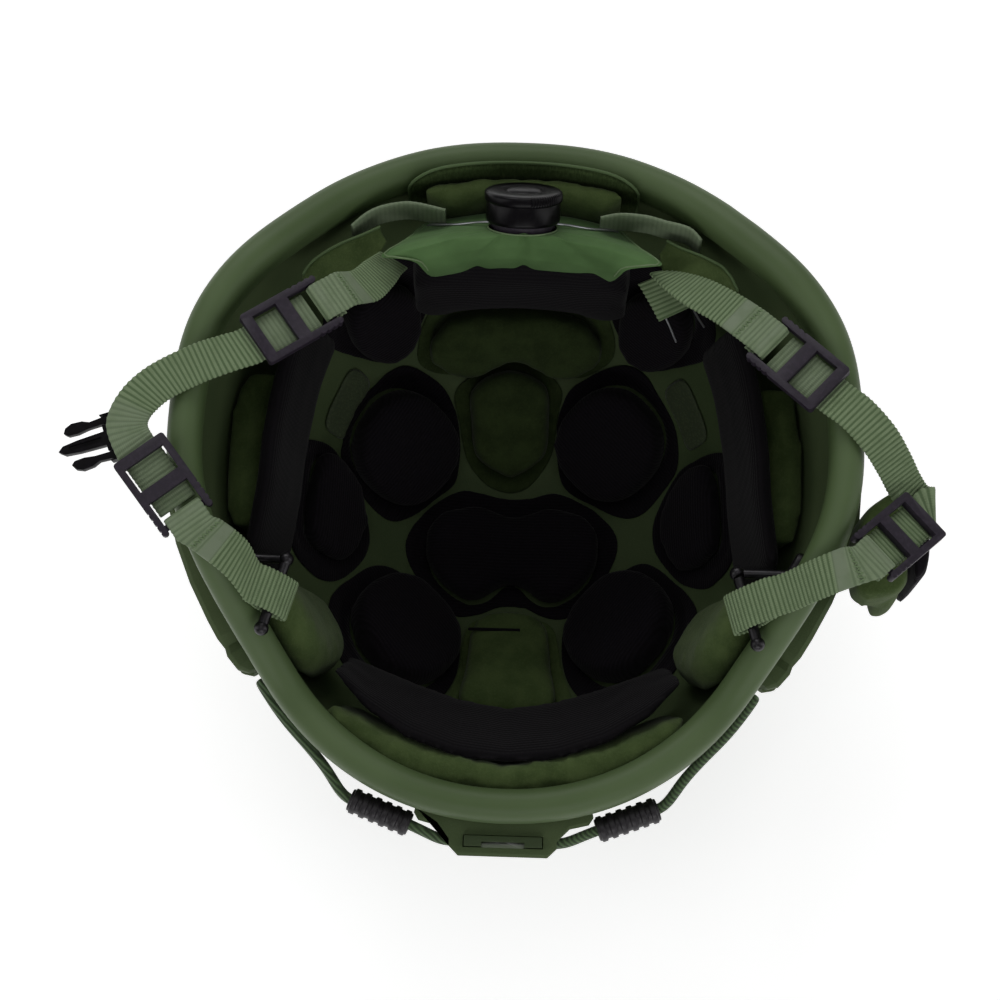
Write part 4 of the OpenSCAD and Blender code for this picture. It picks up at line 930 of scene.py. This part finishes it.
knob_section = [
    (0.001, bore_h, 0), (bore_r - 0.4, bore_h, 0), (bore_r, bore_h - 0.4, 0), (bore_r, 0.3, 0),
    (bore_r + 0.3, 0, 0), (skirt_r, 0, 0), (skirt_r, -1.1, 0), (skirt_r + 0.3, -1.3, 0),
    (knob_r - 1.2, -1.3, 0), (knob_r - 0.8, -0.9, 0), (knob_r - 0.7, 0, 0),
    (knob_r - 0.7, knob_h - 5.3, 0), (knob_r - 0.8, knob_h - 5.1, 0),
    (knob_r - 0.35, knob_h - 4.8, 0), (knob_r - 0.1, knob_h - 4.4, 0.5),
    (knob_r, knob_h - 3.8, 1), (knob_r, knob_h - 2.2, 1), (knob_r - 0.25, knob_h - 1.6, 1),
    (knob_r - 0.8, knob_h - 1.15, 0.6), (knob_r - 1.6, knob_h - 0.95, 0),
    (knob_r * 0.54, knob_h - 0.75, 0), (knob_r * 0.5, knob_h - 1.1, 0),
    (knob_r * 0.46, knob_h - 1.1, 0), (knob_r * 0.43, knob_h - 0.65, 0),
    (knob_r * 0.3, knob_h - 0.2, 0), (knob_r * 0.15, knob_h - 0.03, 0), (0.001, knob_h, 0)]


def lathe_knob():
    """Turns the knob's section about the dial's axis, with teeth where the cap is knurled."""
    net = bmesh.new()
    first, second = np.array([1.0, 0, 0]), np.cross(spin, [1, 0, 0])
    circles = []
    for radius, height, toothed in knob_section:
        circle = []
        for k in range(knob_turns):
            a = k * math.tau / knob_turns - math.pi
            inside = knurl_from < a < knurl_to
            bite = toothed * inside * knurl_deep * (0.5 + 0.5 * math.cos(knurls * a))
            spot = hub + spin * (knob_low + height) + (radius - bite) * (
                math.cos(a) * first + math.sin(a) * second)
            circle.append(net.verts.new(spot / 1000))
        circles.append(circle)
    skinned(net, [circle + circle[:1] for circle in circles])
    bmesh.ops.remove_doubles(net, verts=circles[0] + circles[-1], dist=5e-6)
    bmesh.ops.recalc_face_normals(net, faces=net.faces)
    return from_net(net)


knob_mesh = lathe_knob()
piece("dial_wheel", knob_mesh, polished.material, "knob", "dial_knob")
knob_mesh.set_sharp_from_angle(angle=math.radians(42))
wire = Finish("lace_wire", 0.3, Metallic=0.9)
wire.shader.inputs["Base Color"].default_value = srgb(176, 176, 182) + (1,)
piece("dial_wire", from_net(merged("dial_lace"), rounding(1)), wire.material, "nape",
      "dial_lace")
corded("lace_ends", [[[55, 66.5, 129.4], [57.4, 63.2, 125.5], [60.2, 58.9, 120]],
                     [[66.2, 69.5, 128], [68.4, 67.3, 124], [70.9, 65.2, 120]]],
       wire, 0.9, "nape")

# The strap anchors: black steel rods with ball ends, each on an arm from a plate that
# is fixed inside the shell.
black_steel = Finish("black_steel", 0.32, Metallic=0.4, Specular_IOR_Level=0.6)
worn = black_steel.cloud(black_steel.place(), 0.9, 3)
black_steel.wear(black_steel.blend(worn.above(0.5, 0.8), srgb(16, 13, 18), srgb(42, 37, 46)),
                 0.26 + 0.2 * worn)
for side in ("left", "right"):
    moulded(f"strap_anchor_{side}", f"anchor_rod_{side}", black_steel.material, "helmet",
            0.0002)

# The webbing: 15 mm nylon straps with a woven rib across every 1.85 mm, each rib's crest painted
# lighter and the hollow between darker, painted shade. By each adjuster the folded end is sewn
# down with a zig-zag row, and a pressed patch shows smooth, lightened by a painted sheen.
rib_pitch, rib_height, yarn_pitch = 1.85, 0.16, 0.75
ribs = Pattern("woven_ribs", pitch=rib_pitch, height=rib_height)
phase = ribs.stored("along") * math.tau / ribs.given["pitch"]
lift = (phase.wave() * ribs.given["height"] - 0.06) * 0.001 * (1 - ribs.stored("slick"))
push = ribs.node("ShaderNodeVectorMath", {"operation": "SCALE"},
                 {0: ribs.node("GeometryNodeInputNormal", {}, {}), 3: lift})
ribs.close(ribs.node("GeometryNodeSetPosition", {},
                     {"Geometry": ribs.given["Geometry"], "Offset": push}))

sewn = Pattern("sewn_thread", thickness=0.42)
edge_ends = sewn.tree.nodes.new("GeometryNodeInputMeshEdgeVertices")
lie = sewn.node("ShaderNodeVectorMath", {"operation": "SUBTRACT"},
                [Value(sewn, edge_ends.outputs[3]), Value(sewn, edge_ends.outputs[2])])
laid = sewn.node("GeometryNodeStoreNamedAttribute",
                 {"data_type": "FLOAT_VECTOR", "domain": "EDGE"},
                 {"Geometry": sewn.given["Geometry"], "Name": "lie", "Value": lie})
dots = sewn.node("GeometryNodeMeshToPoints", {"mode": "EDGES"}, {"Mesh": laid})
facing = sewn.node("FunctionNodeAlignRotationToVector", {"axis": "Z"},
                   {"Vector": sewn.stored("lie", "FLOAT_VECTOR")})
stitch_long = sewn.node("ShaderNodeVectorMath", {"operation": "LENGTH"},
                        {0: sewn.stored("lie", "FLOAT_VECTOR")}, 1)
fine = sewn.given["thickness"] * 0.001
bead_size = sewn.node("ShaderNodeCombineXYZ", {}, [fine, fine, stitch_long * 1.12])
bead = sewn.node("GeometryNodeMeshUVSphere", {}, {"Segments": 8, "Rings": 6, "Radius": 0.5})
sewn.close(sewn.node("GeometryNodeInstanceOnPoints", {},
                     {"Points": dots, "Instance": bead, "Rotation": facing,
                      "Scale": bead_size}))

nylon = Finish("nylon_webbing", 0.68, Sheen_Weight=0.05, Specular_IOR_Level=0.25)
side_to_side, lengthwise = nylon.laid(0), nylon.laid(1)
press_and_sheen = nylon.node("ShaderNodeAttribute", {"attribute_name": "slick"}, {}, 2)
rib = (lengthwise * (math.tau / rib_pitch)).wave() * 0.5 + 0.5
yarn = (side_to_side * (math.tau / yarn_pitch)).wave() * 0.5 + 0.5
soiled = nylon.cloud(nylon.place(), 0.16, 4)
# Lighter on each rib's crest and darker in the hollow between, in step with the ribs' relief: painted
# shade.
weave_shade_sheen_and_dirt = nylon.blend(rib.above(0.0, 0.75), srgb(86, 106, 72), srgb(124, 142, 107))
# Pressed patches are lightened: a painted sheen, besides their real lower roughness and flatter ribs.
weave_shade_sheen_and_dirt = nylon.blend(press_and_sheen, weave_shade_sheen_and_dirt, srgb(119, 132, 108))
weave_shade_sheen_and_dirt = nylon.blend(soiled.above(0.45, 0.75) * 0.35, weave_shade_sheen_and_dirt, srgb(92, 111, 76))
nylon.wear(weave_shade_sheen_and_dirt, 0.7 - press_and_sheen * 0.2, (rib * 0.6 + yarn * 0.5) * (1 - press_and_sheen * 0.8),
           0.0002, 0.8)
web_half, web_t, web_gap = 7.5, 1.3, 0.35
bar_d, flat_bar_low, slider_l, slider_end = 2.4, -1.1, 32, 2.5
slider_out = slider_l - slider_end
web_under = flat_bar_low - web_gap - web_t / 2
per_span, web_step = 20, 0.28


def frame_of(inner, outer):
    """An adjuster's place: its hemmed bar's middle, and the ways in, up and across."""
    inner, outer = np.array(inner, float), np.array(outer, float)
    s = unit(inner - outer)
    n = unit(np.array([0, 0, 1]) - s * s[2])
    return (inner + outer) / 2 + s * (slider_l / 2 - slider_end), s, n, np.cross(n, s)


def on_frame(f, s, n, w=0):
    """A point so many mm in, up and across from a frame's origin."""
    return f[0] + f[1] * s + f[2] * n + f[3] * w


def stations_of(*stations):
    """Joins each point with the way from it to the strap's edge."""
    return [[*p, *w] for p, w in stations]


def hem(f):
    """Round the adjuster's bar, from under it to over it."""
    w, turn = f[3] * web_half, bar_d / 2 + web_gap + web_t / 2
    bend = [(turn * math.cos(math.radians(a)), turn * math.sin(math.radians(a)))
            for a in range(270, 80, -30)]
    return stations_of(*[(on_frame(f, s, n), w)
                         for s, n in [(6, -1.5), (3, -2.05)] + bend + [(3, 2.05), (6, 1.6)]])


def threaded(f, flip):
    """Under the adjuster's two outer bars."""
    across = f[3] * web_half * flip
    return stations_of(*[(on_frame(f, s, web_under + (0.2 if s < -slider_out else 0)), across)
                         for s in (-4.6, -13, 2 - slider_out, -slider_out - 3)])


def webbing(node, name, body, stations, pressed=((0, 0), (1, 0)), zero=0):
    """A strap along its stations. pressed pairs a distance in mm with how smooth it is, and
    so how much a painted sheen lightens it.
    """
    stations = np.array(stations, float)
    line = []
    for i in range(len(stations) - 1):
        a, b = stations[max(0, i - 1)], stations[i]
        c, d = stations[i + 1], stations[min(len(stations) - 1, i + 2)]
        for t in np.arange(0, 1, 1 / per_span):
            line.append(0.5 * (2 * b + (c - a) * t + (2 * a - 5 * b + 4 * c - d) * t * t
                               + (3 * b - 3 * c + d - a) * t ** 3))
    line = np.array(line + [stations[-1]])
    far = np.concatenate([[0], np.cumsum(np.linalg.norm(np.diff(line[:, :3], axis=0), axis=1))])
    start = far[zero * per_span]
    dense = np.arange(0, far[-1], web_step)
    line = np.stack([np.interp(dense, far, line[:, k]) for k in range(6)], 1)
    smooth = np.interp(dense - start, [p[0] for p in pressed], [p[1] for p in pressed])
    tangent = np.gradient(line[:, :3], axis=0)
    up = np.cross(tangent, line[:, 3:])
    up /= np.linalg.norm(up, axis=1, keepdims=True)
    shares = np.array([-1, -0.975, -0.9, -0.6, -0.2, 0.2, 0.6, 0.9, 0.975])
    fat = np.array([0, 0.62, 1, 1, 1, 1, 1, 1, 0.62])
    ring = [(u, h) for u, h in zip(shares, fat)] + [(-u, -h) for u, h in zip(shares, fat)]
    count = len(ring)
    verts, uv = [], []
    for k, row in enumerate(line):
        for u, h in ring:
            verts.append((row[:3] + row[3:] * u + up[k] * h * web_t / 2 + drawn_about) / 1000)
            uv.append((u * web_half, dense[k]))
    faces = [(k * count + j, k * count + (j + 1) % count, (k + 1) * count + (j + 1) % count,
              (k + 1) * count + j) for k in range(len(line) - 1) for j in range(count)]
    faces.append(tuple(range(count))[::-1])
    faces.append(tuple(range((len(line) - 1) * count, len(line) * count)))
    mesh = bpy.data.meshes.new(name)
    mesh.from_pydata([tuple(v) for v in verts], [], faces)
    net = bmesh.new()
    net.from_mesh(mesh)
    bmesh.ops.recalc_face_normals(net, faces=net.faces)
    net.to_mesh(mesh)
    net.free()
    lay_pairs(mesh, np.array(uv))
    for label, values in (("along", dense), ("slick", smooth)):
        mesh.attributes.new(label, "FLOAT", "POINT").data.foreach_set(
            "value", np.repeat(values, count).astype(np.float32))
    strap = piece(name, ribs.applied(mesh, nylon.material, pitch=rib_pitch, height=rib_height),
                  nylon.material, body, node)
    strap.data.set_sharp_from_angle(angle=math.radians(60))

    def on_face(s, across, above):
        """The point s mm along from the zero, across the strap and above its face."""
        k = min(len(line) - 1, max(0, int(round((s + start) / web_step))))
        return line[k, :3] + unit(line[k, 3:]) * across + up[k] * above
    return on_face


stitch_reach, stitch_pitch, stitch_t, stitch_up = 1.0, 2.0, 0.5, 0.12


def zigzag(name, body, on_face, s):
    """A zig-zag row of thread across a strap, s mm from its zero."""
    turns = np.arange(-web_half + 0.9, web_half - 0.5, stitch_pitch / 2)
    path = [on_face(s + (stitch_reach if k % 2 else -stitch_reach), u, web_t / 2 + stitch_up)
            for k, u in enumerate(turns)]
    mesh = sewn.applied(edges_of(name, [path]), thread.material, thickness=stitch_t)
    piece(name, mesh, thread.material, body)


folded = ((-30, 0.3), (-2, 0.3), (0, 0.75), (3, 0.45), (12.6, 0.45), (13.8, 1), (17.6, 1),
          (18.8, 0), (200, 0))
in_windows = 0.55

rod_r = 2
anchor_mid = np.array([86, -50, 149.5])
strap_root = np.array([48, 78, 146])
swing = unit(anchor_mid - strap_root)


def rod_frame(side, lead):
    """An anchor rod's place: its middle, and the ways to the strap, up and across."""
    origin, lead = anchor_mid * [side, 1, 1], np.array(lead, float)
    a = swing * [side, 1, 1]
    s = unit(lead - a * (lead @ a))
    n = np.cross(a, s)
    n = n * (1 if n[2] > 0 else -1)
    return origin, s, n, np.cross(n, s)


def rod_loop(f):
    """Over the anchor's rod, down behind it and back underneath."""
    turn = rod_r + web_gap + web_t / 2
    way = [(13, 1.1), (8.5, 1.9), (4, 2.8), (0, turn + 0.05), (-4, 2.8), (-7.2, 1.9), (-8.5, 0),
           (-7.2, -1.9), (-4, -2.8), (0, -turn - 0.05), (4, -2.5), (8.5, -0.7), (12.5, -0.75)]
    return stations_of(*[(on_frame(f, s, n), -f[3] * web_half) for s, n in way])


left_rear = frame_of([-69.9, 55.2, 172], [-95.2, 36.8, 178])
left_front = frame_of([-114.5, -30.6, 178.3], [-134.6, -5, 180])
right_rear = frame_of([88.2, 46.7, 173], [113.4, 23.6, 179.4])
right_front = frame_of([126.6, -36.6, 178], [149, -15.5, 163.5])
across_front = right_front[3] * web_half
# hem_top is the hem's station on top of the bar. Distances along a strap start there, such
# as that of its zig-zag row.
hem_top, seam_at = 8, 10.5
# For each side: its adjusters, its rod and the stations of its straps between them.
sides = {
    "left": {
        "rear": left_rear, "front": left_front, "rod": rod_frame(-1, [-8, 6, 11]),
        "to_root": [([-57.4, 63.7, 163.4], [-5.2, 4.9, 2]), ([-53, 71.4, 154.2], [-5.4, 3.6, 3.4]),
                    ([-50.3, 77, 147.6], [-5.2, 2, 4.6]), ([-48.4, 80.2, 143.6], [-5.2, 1.6, 4.8])],
        "ear": threaded(left_rear, 1) + stations_of(
            ([-104.5, 32.2, 177.6], [-4, 6.3, 0]), ([-115, 28, 177.5], [-3.4, 6.7, 0]),
            ([-128.5, 20.6, 177], [-5, 5.6, 0]), ([-136.3, 13, 176.4], [-6.6, 3.5, 0]),
            ([-139.3, 5, 176.6], [-7.5, -0.4, 0])) + threaded(left_front, -1)[::-1],
        "ear_pressed": ((0, in_windows), (24, in_windows), (27, 0), (73, 0), (76, in_windows),
                        (200, in_windows)),
        "to_rod": [([-108, -35.2, 177.7], [5, 5.6, 0]), ([-98.6, -41, 168.2], [3.6, 6.5, 0.6])]},
    "right": {
        "rear": right_rear, "front": right_front, "rod": rod_frame(1, [8, 6, 11]),
        "to_root": [([75.5, 58.5, 167], [-4.8, -5.7, 1]), ([65, 66.5, 160], [-5, -5.4, 1.6]),
                    ([56.8, 73.2, 152.5], [-4.4, -4.2, 4.2]), ([51, 77.6, 147.4], [-3.2, -2.4, 5.8])],
        "ear": threaded(right_rear, 1) + stations_of(
            ([122.1, 16.7, 178.4], [-5.2, -5.4, 0]), ([130.5, 8.3, 175.6], [-5.6, -5, 0]),
            ([137, 1, 168], [-5.7, -4.8, 0.6]), ([141.5, -4.5, 161.3], [-5.5, -5, 1]),
            ([146, -9.6, 157.6], [-4.2, -6.4, 0.6]), ([150, -12.8, 156.7], [-1.6, -9, 0]),
            ([152.6, -14.5, 159], [0, -10, 0]),
            (on_frame(right_front, -slider_out - 3.6, -2.2), [3, -8.6, 0]),
            (on_frame(right_front, -slider_out + 1, web_under), across_front),
            (on_frame(right_front, -13, web_under), across_front),
            (on_frame(right_front, -4.6, web_under), across_front)),
        "ear_pressed": ((0, in_windows), (24, in_windows), (27, 0), (200, 0)),
        "to_rod": [([118, -39.8, 179.2], [1.5, -7.3, 0]), ([109, -43, 174.4], [1.9, -7.2, 0.4]),
                   ([99, -46.3, 164], [2, -7.1, 1])]}}

for side, way in sides.items():
    body, rear, front = f"strap_{side}", way["rear"], way["front"]
    on_face = webbing(f"rear_strap_{side}", f"webbing_rear_{side}", body, hem(rear) + stations_of(
        (on_frame(rear, 10, 1.1), rear[3] * web_half), *way["to_root"]), folded, hem_top)
    zigzag(f"stitches_rear_{side}", body, on_face, seam_at)
    webbing(f"y_strap_{side}", f"webbing_ear_{side}", body, way["ear"], way["ear_pressed"])
    on_face = webbing(f"front_strap_{side}", f"webbing_front_{side}", body,
                      hem(front) + stations_of(*way["to_rod"]) + rod_loop(way["rod"]), folded,
                      hem_top)
    zigzag(f"stitches_front_{side}", body, on_face, seam_at)

tab_lines = {"left": [[-29, 95.5, 150.4], [-40.3, 98.1, 149.5], [-46.4, 98.1, 149],
                      [-53.8, 96.4, 148.5], [-59, 93.6, 148], [-64.1, 88.9, 147.5]],
             "right": [[29, 94.5, 150.4], [36.5, 96.2, 150], [45.9, 95.7, 150], [53.1, 94.1, 149.5],
                       [62.2, 91.9, 149], [66.9, 87.6, 148]]}
for side, tab_line in tab_lines.items():
    webbing(f"rear_tab_{side}", f"webbing_tab_{side}", "helmet",
            stations_of(*[(spot, [0, 0.8, 7.2]) for spot in tab_line]), ((0, 0.8), (100, 0.8)))
webbing(None, "webbing_stub", "nape", stations_of(
    ([50.6, 78.4, 139], [6.4, 2.6, 1]), ([52.7, 75.7, 137], [6.4, 2.7, 0.6]),
    ([56.1, 71.5, 133], [6.3, 3, 0.3]), ([59, 67, 130], [6.2, 3.2, 0])))

# Strap adjusters: moulded acetal frames with two flat bars, a round one that the sewn
# end turns on, and a notched grip along both rails.
for side in ("left", "right"):
    for end in ("rear", "front"):
        moulded(f"{end}_slider_{side}", f"moulded_{end}_slider_{side}", acetal.material,
                f"strap_{side}")

# The buckle: a plug with a grooved guide and two sprung prongs on the left strap, and
# the socket that hangs from the chin webbing on the right.
buckle = Finish("buckle_acetal", 0.42, Specular_IOR_Level=0.12)
handled = buckle.cloud(buckle.place(), 0.5, 4, 0.6)
buckle.wear(buckle.blend(handled.above(0.45, 0.8), srgb(9, 7, 10), srgb(19, 15, 22)),
            0.32 + 0.25 * handled, handled, 0.00005, 0.3)
moulded("buckle_plug", "plug_body", buckle.material, "plug")
for end in ("front", "rear"):
    moulded(f"buckle_prong_{end}", f"plug_prong_{end}", buckle.material, f"prong_{end}",
            0.0005, 3)
moulded("buckle_socket", "socket_body", buckle.material, "chin", 0.0006, 3)

# The chin side: webbing down to the socket, and a padded cup that slides on it, brushed
# cloth outside with a black mesh lining.
chin_x, chin_y = 146.5, -12
webbing("chin_strap", "webbing_chin", "chin", stations_of(
    *[([chin_x, chin_y, up], [0, web_half, 0]) for up in (154.6, 130, 110, 87)]))
for node, mesh in stuffed(["chin_cup", "chin_cup_liner"], voxel=0.0022, swell=0.0012).items():
    lay_cloth(mesh)
    black = node == "chin_cup_liner"
    piece("padded_" + node, mesh, (spacer if black else fleece).material, "cup",
                    node)
